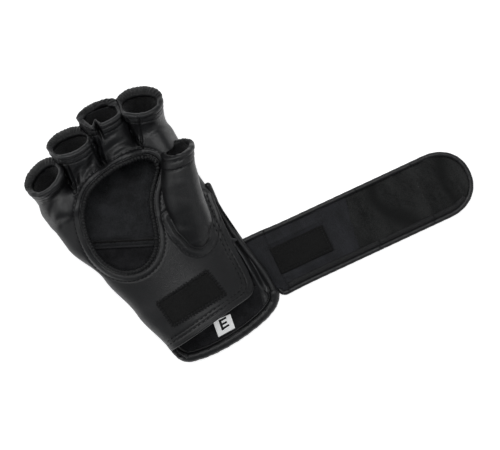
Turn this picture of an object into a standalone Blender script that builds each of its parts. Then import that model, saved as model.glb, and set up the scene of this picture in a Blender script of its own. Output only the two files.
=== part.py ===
"""Open-finger grappling glove for the right hand, lying on its back with the palm up.

Row frame: +X towards the thumb side, +Y towards the fingers, +Z out of the palm. The origin is on the
flat resting face of the back shell. Lengths below are in millimetres and are scaled once, by MM.
"""

import math

import bmesh
import bpy
from mathutils import Matrix, Vector

MM = 0.001
GAP = 0.4  # between two pieces that touch
FOAM_GAP = 0.9  # between a pad and the shell it fills

# Body of the glove: one row for each station along the hand.
# y, left edge, right edge, height of the palm, height of the left fold, of the right edge, right-side fullness
STATIONS = (
    (-118, -34, 51, 37, 20, 6, 3.2),
    (-92, -43, 57, 38, 20, 6, 3.2),
    (-50, -50, 61.5, 38, 20, 6, 3.0),
    (-10, -56, 60, 41, 21, 14, 1.6),
    (30, -67, 59, 44, 23, 21, 1.0),
    (75, -69, 61, 44, 24, 24, 1.0),
)
UNDERSIDE = 6  # how far the round of the back would reach below the resting plane, which cuts it flat
LEATHER = 1.4
PALM_WRIST_Y = -91
WEB_Y = 66  # where the hand ends and the fingers start
BACK_EXTENSION = 24  # how far the back reaches past the palm at the wrist
SLIT = ((-95, 50), (-70, 41), (-47, 38), (-23, 27), (-8, 14), (4, 4), (90, 3))  # y, angle of the palm's free edge

# Padding under the back shell: depth of the foam in the middle
KNUCKLE_FOAM = 13
WRIST_FOAM = 5
FOAM_EDGE = 1.0
PAD_STEP = (-11, -0.6)  # the step between the two pads: y at x = 0, and slope

# The palm opening, seen from above
OPENING = (
    (17, 58), (29, 53), (31, 44), (20, 34), (8, 19), (0, 2), (-12, -12),
    (-27, -16), (-42, -7), (-49, 9), (-47, 28), (-38, 47), (-20, 60), (0, 62),
)
BINDING_RADIUS = 2.2

# Fingers: x at the web, the middle of the mouth, half width at the web and at the mouth
FINGERS = {
    "index": dict(root_x=46, mouth=(52, 100, 43), half=(14.4, 15.0)),
    "middle": dict(root_x=15, mouth=(18, 108.5, 43), half=(14.6, 15.6)),
    "ring": dict(root_x=-18.5, mouth=(-15.5, 106, 43), half=(14.2, 15.2)),
    "little": dict(root_x=-51.5, mouth=(-51, 92.5, 42), half=(13.8, 15.0)),
}
FINGER_ROOT_Y = 71
FINGER_ROOT_Z = 23
FINGER_DEPTH = (20, 16.5)  # half depth at the root and at the mouth
MOUTH_TILT = math.radians(45)
SLEEVE_WALL = 1.4
FINGER_FOAM = 8.5
GUSSETS = (("index_middle", 30.6, 0.5), ("middle_ring", -2, 1.4), ("ring_little", -35.2, 1.6))  # name, x, half width

# Thumb: middle of the base and of the mouth, half width and half height along it
THUMB_BASE = Vector((25, -25, 26))
THUMB_MOUTH = Vector((57, 50, 45))
THUMB_SECTIONS = ((0.0, 11, 12), (0.13, 17, 14.5), (0.3, 19.5, 16), (0.6, 17.5, 15.5), (1.0, 13.5, 13))
THUMB_HINGE = Vector((22, -33, 39))
THUMB_FLEX = math.radians(30)
THUMB_FOAM = 4

# Strap: root, direction, hinges along it, width
STRAP_ROOT = Vector((66, -77.5, 0))
STRAP_TURN = math.radians(-9)
STRAP_LENGTH = 188
STRAP_HALF = 29
STRAP_ROUND = 30  # length of the rounded end
STRAP_ROOT_STRIP = 3.4  # how far the strap reaches behind its first fold, to its seam
STRAP_FOLDS = (0, 60, 128, 162)
STRAP_HINGE_GAP = 0.5
STRAP_COVER = 1.5
STRAP_THICKNESS = 3.4
STRAP_LIP = 4
STRAP_LINING = (1.9, 3.0)
HOOK_PATCH = (4, 56, 12, 3.4, 4.6)  # along from, along to, half width, from height, to height

PALM_PATCH = (-30.5, 22.5, -76, -50)  # left, right, towards the wrist, towards the fingers
LABEL = (-3, 14, -108, -90)


def mix(a, b, t):
    return a + (b - a) * t


def table(rows, at):
    """Reads a table at a place, with an easy curve between its rows."""
    if at <= rows[0][0]:
        return rows[0][1:]
    for low, high in zip(rows, rows[1:]):
        if at <= high[0]:
            t = (at - low[0]) / (high[0] - low[0])
            t = t * t * (3 - 2 * t)
            return tuple(mix(a, b, t) for a, b in zip(low[1:], high[1:]))
    return rows[-1][1:]


# ---------------------------------------------------------------- scene, materials


def clear_scene():
    for obj in list(bpy.data.objects):
        bpy.data.objects.remove(obj)


def material(name, colour, roughness):
    made = bpy.data.materials.new(name)
    made.use_nodes = True
    shader = made.node_tree.nodes["Principled BSDF"]
    shader.inputs["Base Color"].default_value = (*colour, 1)
    shader.inputs["Roughness"].default_value = roughness
    shader.inputs["Metallic"].default_value = 0
    return made


clear_scene()
GLOVE = bpy.data.collections.new("mma_glove")
CUTTERS = bpy.data.collections.new("cutters")
bpy.context.scene.collection.children.link(GLOVE)
bpy.context.scene.collection.children.link(CUTTERS)
LEATHER_MAT = material("black_leather", (0.022, 0.022, 0.024), 0.5)
TRIM_MAT = material("leather_trim", (0.03, 0.03, 0.032), 0.42)
FOAM_MAT = material("foam", (0.35, 0.35, 0.36), 0.9)
LINING_MAT = material("lining", (0.02, 0.02, 0.024), 0.85)
HOOK_MAT = material("hook_and_loop", (0.012, 0.012, 0.012), 0.95)
ELASTIC_MAT = material("elastic", (0.018, 0.018, 0.018), 0.8)
LABEL_MAT = material("label", (0.85, 0.85, 0.85), 0.7)


def put(name, mesh_source, mat, cutter=False):
    """Makes an object from a bmesh or an evaluated mesh, in millimetres, in the right collection."""
    if isinstance(mesh_source, bmesh.types.BMesh):
        bmesh.ops.recalc_face_normals(mesh_source, faces=mesh_source.faces)
        mesh = bpy.data.meshes.new(name)
        mesh_source.to_mesh(mesh)
        mesh_source.free()
    else:
        mesh = mesh_source
    mesh.transform(Matrix.Scale(MM, 4))
    mesh.materials.append(mat)
    mesh.shade_smooth()
    mesh.set_sharp_from_angle(angle=math.radians(40))
    obj = bpy.data.objects.new(name, mesh)
    (CUTTERS if cutter else GLOVE).objects.link(obj)
    if cutter:
        obj.hide_render = True
        obj.display_type = "WIRE"
    return obj


def cut(obj, *cutters):
    for cutter in cutters:
        modifier = obj.modifiers.new("cut_" + cutter.name, "BOOLEAN")
        modifier.object = cutter
        modifier.operation = "DIFFERENCE"


# ---------------------------------------------------------------- builders


def sheet(name, place, steps, outer, inner, mat):
    """A curved plate: a flat grid, extruded once, both faces laid on a surface at two depths.

    place(u, v, depth) gives a point for u and v from 0 to 1; outer and inner are depths or functions of u, v.
    """
    bm = bmesh.new()
    bmesh.ops.create_grid(bm, x_segments=steps[0], y_segments=steps[1], size=0.5)
    flat = [(v.co.x + 0.5, v.co.y + 0.5) for v in bm.verts]
    base = list(bm.verts)
    made = bmesh.ops.extrude_face_region(bm, geom=list(bm.faces), use_keep_orig=True)
    lifted = [g for g in made["geom"] if isinstance(g, bmesh.types.BMVert)]
    for vert in lifted:
        u, v = vert.co.x + 0.5, vert.co.y + 0.5
        vert.co = place(u, v, inner(u, v) if callable(inner) else inner)
    for vert, (u, v) in zip(base, flat):
        vert.co = place(u, v, outer(u, v) if callable(outer) else outer)
    return put(name, bm, mat)


def skin(name, rings, mat, wall=0, capped=False, cutter=False):
    """A tube: a circle, extruded from ring to ring. With a wall, Solidify thickens it inwards."""
    count = len(rings[0])
    bm = bmesh.new()
    edge_ring = bmesh.ops.create_circle(bm, segments=count, radius=1, cap_ends=capped)["verts"]
    for vert, co in zip(edge_ring, rings[0]):
        vert.co = co
    edges = [e for e in bm.edges]
    for ring in rings[1:]:
        made = bmesh.ops.extrude_edge_only(bm, edges=edges)["geom"]
        verts = [g for g in made if isinstance(g, bmesh.types.BMVert)]
        edges = [g for g in made if isinstance(g, bmesh.types.BMEdge)]
        for vert, co in zip(verts, ring):
            vert.co = co
    if capped:
        bmesh.ops.holes_fill(bm, edges=[e for e in bm.edges if e.is_boundary])
    obj = put(name, bm, mat, cutter)
    if wall:
        thick = obj.modifiers.new("wall", "SOLIDIFY")
        thick.thickness = wall * MM
        thick.offset = -1
        thick.use_even_offset = True
    return obj


def cord(name, points, radius, mat, closed=True, sides=3):
    """A round piping or hem along points, as a bevelled curve made into a mesh."""
    curve = bpy.data.curves.new(name, "CURVE")
    curve.dimensions = "3D"
    curve.bevel_depth = radius
    curve.bevel_resolution = sides - 2
    curve.use_fill_caps = not closed
    spline = curve.splines.new("POLY")
    spline.points.add(len(points) - 1)
    for slot, co in zip(spline.points, points):
        slot.co = (*co, 1)
    spline.use_cyclic_u = closed
    guide = bpy.data.objects.new(name + "_curve", curve)
    CUTTERS.objects.link(guide)
    bpy.context.view_layer.update()
    graph = bpy.context.evaluated_depsgraph_get()
    mesh = bpy.data.meshes.new_from_object(guide.evaluated_get(graph))
    bm = bmesh.new()
    bm.from_mesh(mesh)
    bmesh.ops.remove_doubles(bm, verts=bm.verts, dist=0.01)
    bpy.data.objects.remove(guide)
    return put(name, bm, mat)


def plate(name, outline, low, high, mat, lay=None, cutter=False):
    """A flat outline with a thickness. lay moves each finished point, for instance onto a curved surface."""
    bm = bmesh.new()
    face = bm.faces.new([bm.verts.new((x, y, low)) for x, y in outline])
    made = bmesh.ops.extrude_face_region(bm, geom=[face], use_keep_orig=True)
    for vert in made["geom"]:
        if isinstance(vert, bmesh.types.BMVert):
            vert.co.z = high
    if lay:
        for vert in bm.verts:
            vert.co = lay(vert.co)
    return put(name, bm, mat, cutter)


def smooth_loop(corners, count):
    """Points evenly along a closed Catmull-Rom curve through the corners."""
    made = []
    n = len(corners)
    for i in range(count):
        at = i * n / count
        k, t = int(at), at - int(at)
        a, b, c, d = (Vector(corners[(k + j) % n]) for j in (-1, 0, 1, 2))
        made.append(0.5 * (2 * b + (c - a) * t + (2 * a - 5 * b + 4 * c - d) * t**2 + (3 * b - a - 3 * c + d) * t**3))
    return made


def grow(loop, distance):
    """The loop, clockwise seen from above, moved outwards by a distance."""
    made = []
    for before, here, after in zip(loop[-1:] + loop[:-1], loop, loop[1:] + loop[:1]):
        along = (after - before).normalized()
        made.append(here + Vector((-along.y, along.x)) * distance)
    return made


# ---------------------------------------------------------------- the hand's surface


def body_point(angle, y, depth):
    """A point of the glove's body. angle 0 is the thumb side, 90 the palm, 180 the little finger side, 270 the back."""
    left, right, top, fold_left, fold_right, fullness = table(STATIONS, y)
    c, s = math.cos(math.radians(angle)), math.sin(math.radians(angle))
    x = (left + right) / 2 + ((right - left) / 2 - depth) * c
    base = mix(fold_right, fold_left, (1 - c) / 2)
    if s >= 0:
        power = fullness if c > 0 else 1.0
        z = base + (top - (fold_left + fold_right) / 2 - depth) * s**power
    else:
        z = max(depth, base - (base + UNDERSIDE - depth) * (-s) ** 0.6)
    return Vector((x, y, z))


def palm_height(x, y, depth=0.0):
    left, right, top, fold_left, fold_right, fullness = table(STATIONS, y)
    c = max(-1, min(1, (x - (left + right) / 2) / ((right - left) / 2 - depth)))
    angle = math.degrees(math.acos(c))
    return body_point(angle, y, depth).z


def slit_angle(y):
    return table(SLIT, y)[0]


def palm_place(u, v, depth):
    y = mix(PALM_WRIST_Y, WEB_Y, v)
    return body_point(mix(slit_angle(y), 178.5, u), y, depth)


def back_edge(angle):
    return PALM_WRIST_Y - BACK_EXTENSION * abs(math.sin(math.radians(angle))) ** 0.8


def back_place(first, last, y_first=None, y_last=lambda angle: WEB_Y):
    """A placing function for a piece of the back between two angles; y_first and y_last are functions of the angle."""
    low = y_first or back_edge

    def place(u, v, depth):
        angle = mix(first, last, u)
        return body_point(angle, mix(low(angle), y_last(angle), v), depth)

    return place


def step_y(angle):
    """Where the thick knuckle pad ends, seen at an angle of the back."""
    x = body_point(angle, 0, 0).x
    return PAD_STEP[0] + PAD_STEP[1] * x


def crescent(full):
    """Foam depth across the back: full in the middle and thin at both sides."""
    return lambda u, v: LEATHER + FOAM_GAP + mix(FOAM_EDGE, full, math.sin(math.pi * u) ** 0.5)


# ---------------------------------------------------------------- pieces of the hand


def make_back():
    sheet("back_shell", back_place(181.5, 352), (16, 14), 0, LEATHER, LEATHER_MAT)
    knuckle = back_place(196, 344, lambda a: step_y(a) + 1, lambda a: WEB_Y - 0.5)
    wrist = back_place(196, 338, lambda a: back_edge(a) + 3, lambda a: step_y(a) - 1)
    sheet("knuckle_foam", knuckle, (16, 7), LEATHER + FOAM_GAP, crescent(KNUCKLE_FOAM), FOAM_MAT)
    sheet("wrist_foam", wrist, (16, 7), LEATHER + FOAM_GAP, crescent(WRIST_FOAM), FOAM_MAT)
    for name, place, full in (
        ("knuckle_lining", knuckle, KNUCKLE_FOAM),
        ("wrist_lining", wrist, WRIST_FOAM),
    ):
        inner = crescent(full)
        sheet(
            name, place, (16, 7),
            lambda u, v, inner=inner: inner(u, v) + GAP,
            lambda u, v, inner=inner: inner(u, v) + GAP + 0.8,
            LINING_MAT,
        )
    edge = [body_point(a, back_edge(a) - 4.4, 2.8) for a in range(184, 350, 9)]
    cord("wrist_binding", edge, 1.8, TRIM_MAT, closed=False)


def make_palm(thumb_cutter):
    loop = smooth_loop(OPENING, 36)
    opening = plate(
        "opening_cutter", grow(loop, BINDING_RADIUS + GAP), 15, 70, TRIM_MAT, cutter=True
    )
    panel = sheet("palm_panel", palm_place, (18, 16), 0, LEATHER, LEATHER_MAT)
    lining = sheet("palm_lining", palm_place, (18, 16), LEATHER + 0.6, LEATHER + 1.3, LINING_MAT)
    for obj in (panel, lining):
        cut(obj, opening, thumb_cutter)
    rim = [Vector((p.x, p.y, palm_height(p.x, p.y) - 1.2)) for p in loop]
    cord("opening_binding", rim, BINDING_RADIUS, TRIM_MAT)
    sheet("palm_loop_patch", patch_place, (9, 5), -1.9, -GAP, HOOK_MAT)
    hem = [body_point(mix(slit_angle(PALM_WRIST_Y) + 1, 176, i / 16), PALM_WRIST_Y - 2.0, 0.8) for i in range(17)]
    cord("palm_hem", hem, 1.5, TRIM_MAT, closed=False)
    slit = []
    for i in range(15):
        y = mix(PALM_WRIST_Y + 3, -14, i / 14)
        edge = body_point(slit_angle(y), y, 0.8)
        slit.append(edge + Vector((1.9, 0, -1.2)))
    cord("slit_binding", slit, 1.2, TRIM_MAT, closed=False)


def patch_place(u, v, depth):
    left, right, low, high = PALM_PATCH
    x, y = mix(left, right, u), mix(low, high, v)
    edge_left, edge_right = table(STATIONS, y)[:2]
    angle = math.acos((x - (edge_left + edge_right) / 2) / ((edge_right - edge_left) / 2))
    return body_point(math.degrees(angle), y, depth)


def gusset_place(u, v, depth):
    y = mix(-84, -16, v)
    return body_point(mix(357, 360 + slit_angle(y) + 6, u), y, depth)


def make_cuff_details():
    sheet("slit_gusset", gusset_place, (6, 10), 4.4, 5.2, ELASTIC_MAT)
    line = [on_strap((-STRAP_ROOT_STRIP - 1.8, v, 3)) for v in range(-27, 28, 6)]
    cord("strap_piping", line, 1.3, TRIM_MAT, closed=False)
    left, right, low, high = LABEL
    rise = 9.2

    def lay(point):
        return Vector((point.x, point.y, rise + point.z))

    outline = [Vector(p) for p in ((left, low), (right, low), (right, high), (left, high))]
    plate("size_label", outline, 0, 0.5, LABEL_MAT, lay=lay)
    for name, x, width in GUSSETS:
        wedge = ((x - width, WEB_Y + 1), (x - width / 2, WEB_Y + 11), (x + width / 2, WEB_Y + 11), (x + width, WEB_Y + 1))
        plate(name + "_gusset", [Vector(p) for p in wedge], 10, 32, ELASTIC_MAT)


# ---------------------------------------------------------------- fingers


def finger_frame(finger, t):
    """Middle, sideways and palmwards directions and half sizes of a finger's section, t from root to mouth."""
    root = Vector((finger["root_x"], FINGER_ROOT_Y, FINGER_ROOT_Z))
    mouth = Vector(finger["mouth"])
    reach = mouth.y - root.y
    lean = (mouth.x - root.x) * 0.3
    p1 = root + Vector((lean, reach * 0.45, 0))
    p2 = mouth - Vector((lean, math.cos(MOUTH_TILT) * reach * 0.4, math.sin(MOUTH_TILT) * reach * 0.4))
    middle = (1 - t) ** 3 * root + 3 * (1 - t) ** 2 * t * p1 + 3 * (1 - t) * t * t * p2 + t**3 * mouth
    tilt = MOUTH_TILT * t * t * (3 - 2 * t)
    return middle, Vector((1, 0, 0)), Vector((0, -math.sin(tilt), math.cos(tilt))), (
        mix(*finger["half"], t),
        mix(*FINGER_DEPTH, t),
    )


def finger_point(finger, angle, t, depth):
    middle, side, palmwards, (half, deep) = finger_frame(finger, t)
    c, s = math.cos(math.radians(angle)), math.sin(math.radians(angle))
    return middle + side * (half - depth) * c + palmwards * (deep - depth) * s


def finger_foam(u, v):
    return SLEEVE_WALL + GAP + mix(0.9, FINGER_FOAM, math.sin(math.pi * u))


def make_finger(name, finger):
    def place(first, last, t_first=0.0, t_last=0.97):
        def at(u, v, depth):
            start = t_first(mix(first, last, u)) if callable(t_first) else t_first
            return finger_point(finger, mix(first, last, u), mix(start, t_last, v), depth)

        return at

    def palm_start(angle):
        """The palm side starts further out, so that it clears the palm when the finger bends."""
        return 0.16 * max(0, math.sin(math.radians(angle)))

    loop = place(-2, 182, palm_start)
    sheet(name + "_loop", loop, (10, 5), 0, SLEEVE_WALL, LEATHER_MAT)
    sheet(name + "_pad_cover", place(184.5, 355.5), (10, 5), 0, SLEEVE_WALL, LEATHER_MAT)
    sheet(name + "_pad_foam", place(192, 348), (8, 4), SLEEVE_WALL + GAP, finger_foam, FOAM_MAT)
    count = 16
    rings = []
    for t in (0.18, 0.45, 0.72, 0.96):
        ring = []
        for i in range(count):
            angle = 360 * i / count
            inside = (angle - 192) / (348 - 192)
            foam = finger_foam(inside, 0) if 0 < inside < 1 else SLEEVE_WALL + 0.9
            ring.append(finger_point(finger, angle, t, foam + GAP + 0.3))
        rings.append(ring)
    skin(name + "_lining", rings, LINING_MAT, wall=0.7)
    rim = [finger_point(finger, 360 * i / 20, 1.0, 1.6) for i in range(20)]
    middle, _, palmwards, _ = finger_frame(finger, 1.0)
    outwards = palmwards.cross(Vector((1, 0, 0)))
    rim = [p + outwards * 2.2 for p in rim]
    cord(name + "_hem", rim, 1.9, TRIM_MAT)


# ---------------------------------------------------------------- thumb


def thumb_frame(t):
    along = (THUMB_MOUTH - THUMB_BASE).normalized()
    side = along.cross(Vector((0, 0, 1))).normalized()
    up = side.cross(along)
    return THUMB_BASE.lerp(THUMB_MOUTH, t), side, up, table(THUMB_SECTIONS, t)


def thumb_point(angle, t, depth):
    middle, side, up, (half, tall) = thumb_frame(t)
    c, s = math.cos(math.radians(angle)), math.sin(math.radians(angle))
    return middle + side * (half - depth) * c + up * (tall - depth) * s


def make_thumb():
    def place(first, last, t_first, t_last):
        return lambda u, v, depth: thumb_point(mix(first, last, u), mix(t_first, t_last, v), depth)

    sheet("thumb_front", place(-2, 182, 0.0, 0.98), (10, 8), 0, SLEEVE_WALL, LEATHER_MAT)
    sheet("thumb_back", place(184.5, 355.5, 0.42, 0.98), (10, 5), 0, SLEEVE_WALL, LEATHER_MAT)
    foam = lambda u, v: SLEEVE_WALL + GAP + mix(0.9, THUMB_FOAM, math.sin(math.pi * u))
    sheet("thumb_foam", place(194, 346, 0.45, 0.96), (8, 4), SLEEVE_WALL + GAP, foam, FOAM_MAT)
    rings = []
    for t in (0.45, 0.7, 0.96):
        ring = []
        for i in range(16):
            angle = 360 * i / 16
            inside = (angle - 194) / (346 - 194)
            depth = foam(inside, 0) if 0 < inside < 1 else SLEEVE_WALL + 0.9
            ring.append(thumb_point(angle, t, depth + GAP + 0.3))
        rings.append(ring)
    skin("thumb_lining", rings, LINING_MAT, wall=0.7)
    along = (THUMB_MOUTH - THUMB_BASE).normalized()
    rim = [thumb_point(360 * i / 20, 1.0, 1.5) + along * 1.6 for i in range(20)]
    cord("thumb_hem", rim, 1.8, TRIM_MAT)
    welt = []
    for i in range(19):
        angle = mix(176, 4, i / 18)
        welt.append(thumb_point(angle, mix(0.03, 0.42, abs(math.cos(math.radians(angle))) ** 3), -1.3 - GAP))
    cord("thumb_welt", welt, 1.3, TRIM_MAT, closed=False)


def thumb_clearance():
    """A solid a little larger than the thumb sleeve through all of its swing, that cuts the palm free of it."""
    along = (THUMB_MOUTH - THUMB_BASE).normalized()
    axis = Vector((along.y, -along.x, 0)).normalized()
    bm = bmesh.new()
    for k in range(4):
        turn = Matrix.Rotation(THUMB_FLEX * k / 3, 3, axis)
        for t in (0, 0.12, 0.25, 0.4, 0.6, 1):
            for i in range(16):
                point = thumb_point(360 * i / 16, t, -3.4 if t < 0.5 else -1.0)
                bm.verts.new(THUMB_HINGE + turn @ (point - THUMB_HINGE))
    hull = bmesh.ops.convex_hull(bm, input=bm.verts)
    bmesh.ops.delete(bm, geom=hull["geom_interior"], context="VERTS")
    return put("thumb_cutter", bm, TRIM_MAT, cutter=True)


# ---------------------------------------------------------------- strap


def strap_half(along, inset):
    straight = STRAP_LENGTH - STRAP_ROUND
    if along <= straight:
        return STRAP_HALF - inset
    share = (along - straight) / (STRAP_ROUND - inset)
    return (STRAP_HALF - inset) * math.sqrt(max(0, 1 - min(1, share) ** 2))


def strap_outline(start, end, inset):
    """The strap's outline between two places along it, in its own frame."""
    straight = STRAP_LENGTH - STRAP_ROUND
    stops = [start, end]
    if end > straight:
        round_end = STRAP_ROUND - inset
        arc = [straight + round_end * math.sin(math.pi / 2 * k / 9) for k in range(10)]
        stops = [start] + [a for a in arc if a > start + 0.5]
        if end < straight + round_end:
            stops = [a for a in stops if a < end] + [end]
    upper = [Vector((a, strap_half(a, inset))) for a in stops]
    lower = [Vector((p.x, -p.y)) for p in reversed(upper) if p.y > 0.01]
    return lower[::-1][::-1] + upper


def on_strap(point):
    return STRAP_ROOT + Matrix.Rotation(STRAP_TURN, 3, "Z") @ Vector(point)


def make_strap():
    recess = plate(
        "strap_recess", strap_outline(-20, STRAP_LENGTH, STRAP_LIP), STRAP_COVER, 12, TRIM_MAT,
        lay=on_strap, cutter=True,
    )
    strip = strap_outline(-STRAP_ROOT_STRIP, -STRAP_HINGE_GAP, 0)
    plate("strap_root", strip, 0, STRAP_THICKNESS, LEATHER_MAT, lay=on_strap)
    ends = [*STRAP_FOLDS[1:], STRAP_LENGTH]
    for number, (start, end) in enumerate(zip(STRAP_FOLDS, ends), 1):
        low, high = start + STRAP_HINGE_GAP, end - (STRAP_HINGE_GAP if end < STRAP_LENGTH else 0)
        cover = plate(
            f"strap_cover_{number}", strap_outline(low, high, 0), 0, STRAP_THICKNESS, LEATHER_MAT, lay=on_strap
        )
        cut(cover, recess)
        plate(
            f"strap_lining_{number}", strap_outline(low, high, STRAP_LIP + GAP), *STRAP_LINING, LINING_MAT,
            lay=on_strap,
        )
    start, end, half, low, high = HOOK_PATCH
    outline = [Vector(p) for p in ((start, -half), (end, -half), (end, half), (start, half))]
    plate("strap_hook_patch", outline, low, high, HOOK_MAT, lay=on_strap)


make_back()
make_palm(thumb_clearance())
make_cuff_details()
for finger_name, finger_sizes in FINGERS.items():
    make_finger(finger_name, finger_sizes)
make_thumb()
make_strap()
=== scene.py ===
import math

import bpy
import numpy as np
from mathutils import Matrix


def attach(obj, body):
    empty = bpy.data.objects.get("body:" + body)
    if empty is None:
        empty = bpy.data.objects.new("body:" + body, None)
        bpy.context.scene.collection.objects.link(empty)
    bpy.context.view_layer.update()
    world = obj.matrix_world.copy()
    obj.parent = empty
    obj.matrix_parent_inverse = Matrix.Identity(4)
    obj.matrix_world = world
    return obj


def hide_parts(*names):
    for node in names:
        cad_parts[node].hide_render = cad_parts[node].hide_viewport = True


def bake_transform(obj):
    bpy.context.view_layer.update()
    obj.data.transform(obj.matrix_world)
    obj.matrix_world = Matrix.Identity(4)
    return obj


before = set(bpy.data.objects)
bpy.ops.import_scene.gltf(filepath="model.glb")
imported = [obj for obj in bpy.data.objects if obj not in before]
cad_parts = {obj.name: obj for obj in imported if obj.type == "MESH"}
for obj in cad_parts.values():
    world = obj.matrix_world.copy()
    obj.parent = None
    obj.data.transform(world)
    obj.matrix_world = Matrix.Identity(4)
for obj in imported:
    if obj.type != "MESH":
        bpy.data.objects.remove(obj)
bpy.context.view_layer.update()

MM = 0.001
PI = math.pi

# ------------------------------------------------------------------ sizes, in millimetres, in the frame of the CAD
# y, left edge, right edge, top of the palm, height of the left fold, of the right fold, fullness at the right
STATIONS = np.array(
    (
        (-140, -30, 46, 36, 19, 5, 3.0),
        (-118, -36, 51, 37, 20, 5, 3.0),
        (-92, -43.5, 57, 39, 20, 6, 2.8),
        (-50, -50.5, 60, 39, 20, 7, 2.4),
        (-10, -56.5, 60, 41.5, 21, 14, 1.5),
        (30, -67.5, 59.5, 43.5, 22, 20, 1.0),
        (75, -69.5, 62, 43, 23, 23, 1.0),
        (110, -69.5, 62, 43, 23, 23, 1.0),
    ),
    float,
)
UNDERSIDE = 6
# between skin and lining all round; for a finger also how far its lining sits palmwards
# and how much lower it is
BODY_WALL, THUMB_WALL = 3.2, 3.4
FINGER_WALL = (3.8, 2.9, 2.0)
FINGERS_FROM = 33
HAND_END = 68.5
PALM_WRIST_Y = -90
# rows of stitches: outside the palm opening's edge, inside the cuff's edge and below the thumb's seam
RING_STITCH = 7.8
CUFF_STITCHES = (4.4, 7.6)
WELT_STITCH = 7.2

OPENING = (
    (18, 61), (28.5, 58), (35, 51.5), (35, 44), (30.5, 39), (23.5, 33), (16, 25.5), (10, 15.5), (4.8, 3.5),
    (-2, -9), (-12, -17.2), (-24, -19.6), (-36.2, -15.5), (-45.4, -5.5), (-49.6, 8.5), (-48.3, 25),
    (-43.6, 39.5), (-37.2, 49.6), (-26.6, 58.2), (-13.5, 62.2), (2, 63.4),
)

# middle at the root, middle of the mouth, half widths and half depths at root and mouth,
# and the mouth's turn in degrees
FINGERS = {
    "index": ((46.5, 71, 22.5), (52.6, 97.5, 43), (15.2, 19.0), (20.5, 17.6), -26),
    "middle": ((15.5, 71, 23), (19.4, 107.5, 43), (16.5, 20.2), (20.5, 15.0), -13),
    "ring": ((-18.5, 71, 23), (-15, 102, 43), (16.5, 19.3), (20.5, 16.0), -12),
    "little": ((-51.5, 71, 22), (-49.4, 90, 41), (15.8, 17.8), (19.5, 17.6), 11),
}
MOUTH_TILT = math.radians(45)
# the fold that pinches the middle finger's mouth: how deep, how far beside the middle line, how wide
PINCH_DEEP, PINCH_BESIDE, PINCH_WIDE = 8.8, 5.5, 1.5

THUMB_BASE = np.array((30.0, -24.0, 25.0))
THUMB_MOUTH = np.array((57.0, 46.5, 44.0))
# share of the way, half width, half height
THUMB = np.array(
    (
        (-0.3, 8, 6), (-0.14, 9.5, 10.5), (0.0, 14.2, 14), (0.17, 17.9, 16), (0.42, 17.5, 17),
        (0.64, 16.5, 16), (0.85, 14.3, 14.3), (1.0, 13.4, 13.2), (1.3, 13, 13),
    ),
    float,
)
# place along the thumb, lean, depth, width of the sleeve's soft folds
SLEEVE_FOLDS = ((0.52, 0.3, 0.16, 3.0), (0.34, -0.25, 0.2, 3.6), (0.72, 0.15, 0.14, 2.2), (0.18, 0.4, 0.25, 3.6))


# ------------------------------------------------------------------ small maths


def smooth(t):
    t = np.clip(t, 0, 1)
    return t * t * (3 - 2 * t)


def table(rows, at):
    """Reads the columns of a table at an array of places, with an easy curve between its rows."""
    at = np.asarray(at, float)
    k = np.clip(np.searchsorted(rows[:, 0], at, side="right") - 1, 0, len(rows) - 2)
    t = smooth((at - rows[k, 0]) / (rows[k + 1, 0] - rows[k, 0]))
    return [rows[k, c] * (1 - t) + rows[k + 1, c] * t for c in range(1, rows.shape[1])]


def smin(a, b, k):
    h = np.clip(0.5 + 0.5 * (b - a) / k, 0, 1)
    return b * (1 - h) + a * h - k * h * (1 - h)


def smax(a, b, k):
    return -smin(-a, -b, k)


def unit(v):
    return v / np.maximum(np.linalg.norm(v, axis=-1, keepdims=True), 1e-9)


def bell(d, width):
    return np.exp(-((d / width) ** 2))


HASH = np.array((374761393, 668265263, 2147483647))


def value_noise(p, scale, seed=0):
    """Smooth noise from -1 to 1 at points, from hashed lattice values."""
    q = p / scale + seed * 17.31
    base = np.floor(q).astype(np.int64)
    f = q - base
    f = f * f * (3 - 2 * f)
    total = 0
    for dx in (0, 1):
        for dy in (0, 1):
            for dz in (0, 1):
                h = ((base + (dx, dy, dz)) * HASH).sum(-1)
                h = (h ^ (h >> 13)) * 1274126177
                value = ((h ^ (h >> 16)) & 0xFFFF) / 32767.5 - 1
                wx = f[..., 0] if dx else 1 - f[..., 0]
                wy = f[..., 1] if dy else 1 - f[..., 1]
                wz = f[..., 2] if dz else 1 - f[..., 2]
                total = total + value * wx * wy * wz
    return total


def ellipse_distance(u, w, a, b, power=2.0):
    """About how far a point lies outside a superellipse with half axes a and b."""
    qu, qw = np.abs(u) / a + 1e-6, np.abs(w) / b + 1e-6
    g = (qu**power + qw**power) ** (1 / power)
    slope = np.hypot(qu ** (power - 1) / a, qw ** (power - 1) / b) * g ** (1 - power)
    return (g - 1) / np.maximum(slope, 1e-3)


# ------------------------------------------------------------------ the solid the leather lies on


def body_field(p, inset=0.0):
    x, y, z = p[:, 0], p[:, 1], p[:, 2]
    left, right, top, fold_left, fold_right, full = table(STATIONS, y)
    half = (right - left) / 2 - inset
    c = (x - (left + right) / 2) / half
    base = fold_right + (fold_left - fold_right) * (1 - np.clip(c, -1, 1)) / 2
    up = z > base
    rise = np.where(up, top - (fold_left + fold_right) / 2 - inset, base + UNDERSIDE)
    power = np.where(up, 2 / np.where(c > 0, full, 1.0), 2 / 0.6)
    q = np.abs(z - base) / rise
    field = c * c + q**power
    slope = np.hypot(2 * np.abs(c) / half, power * np.maximum(q, 0.06) ** (power - 1) / rise)
    d = (field - 1) / np.maximum(slope, 1e-3)
    return smax(d, inset - z, 2.0)


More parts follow.
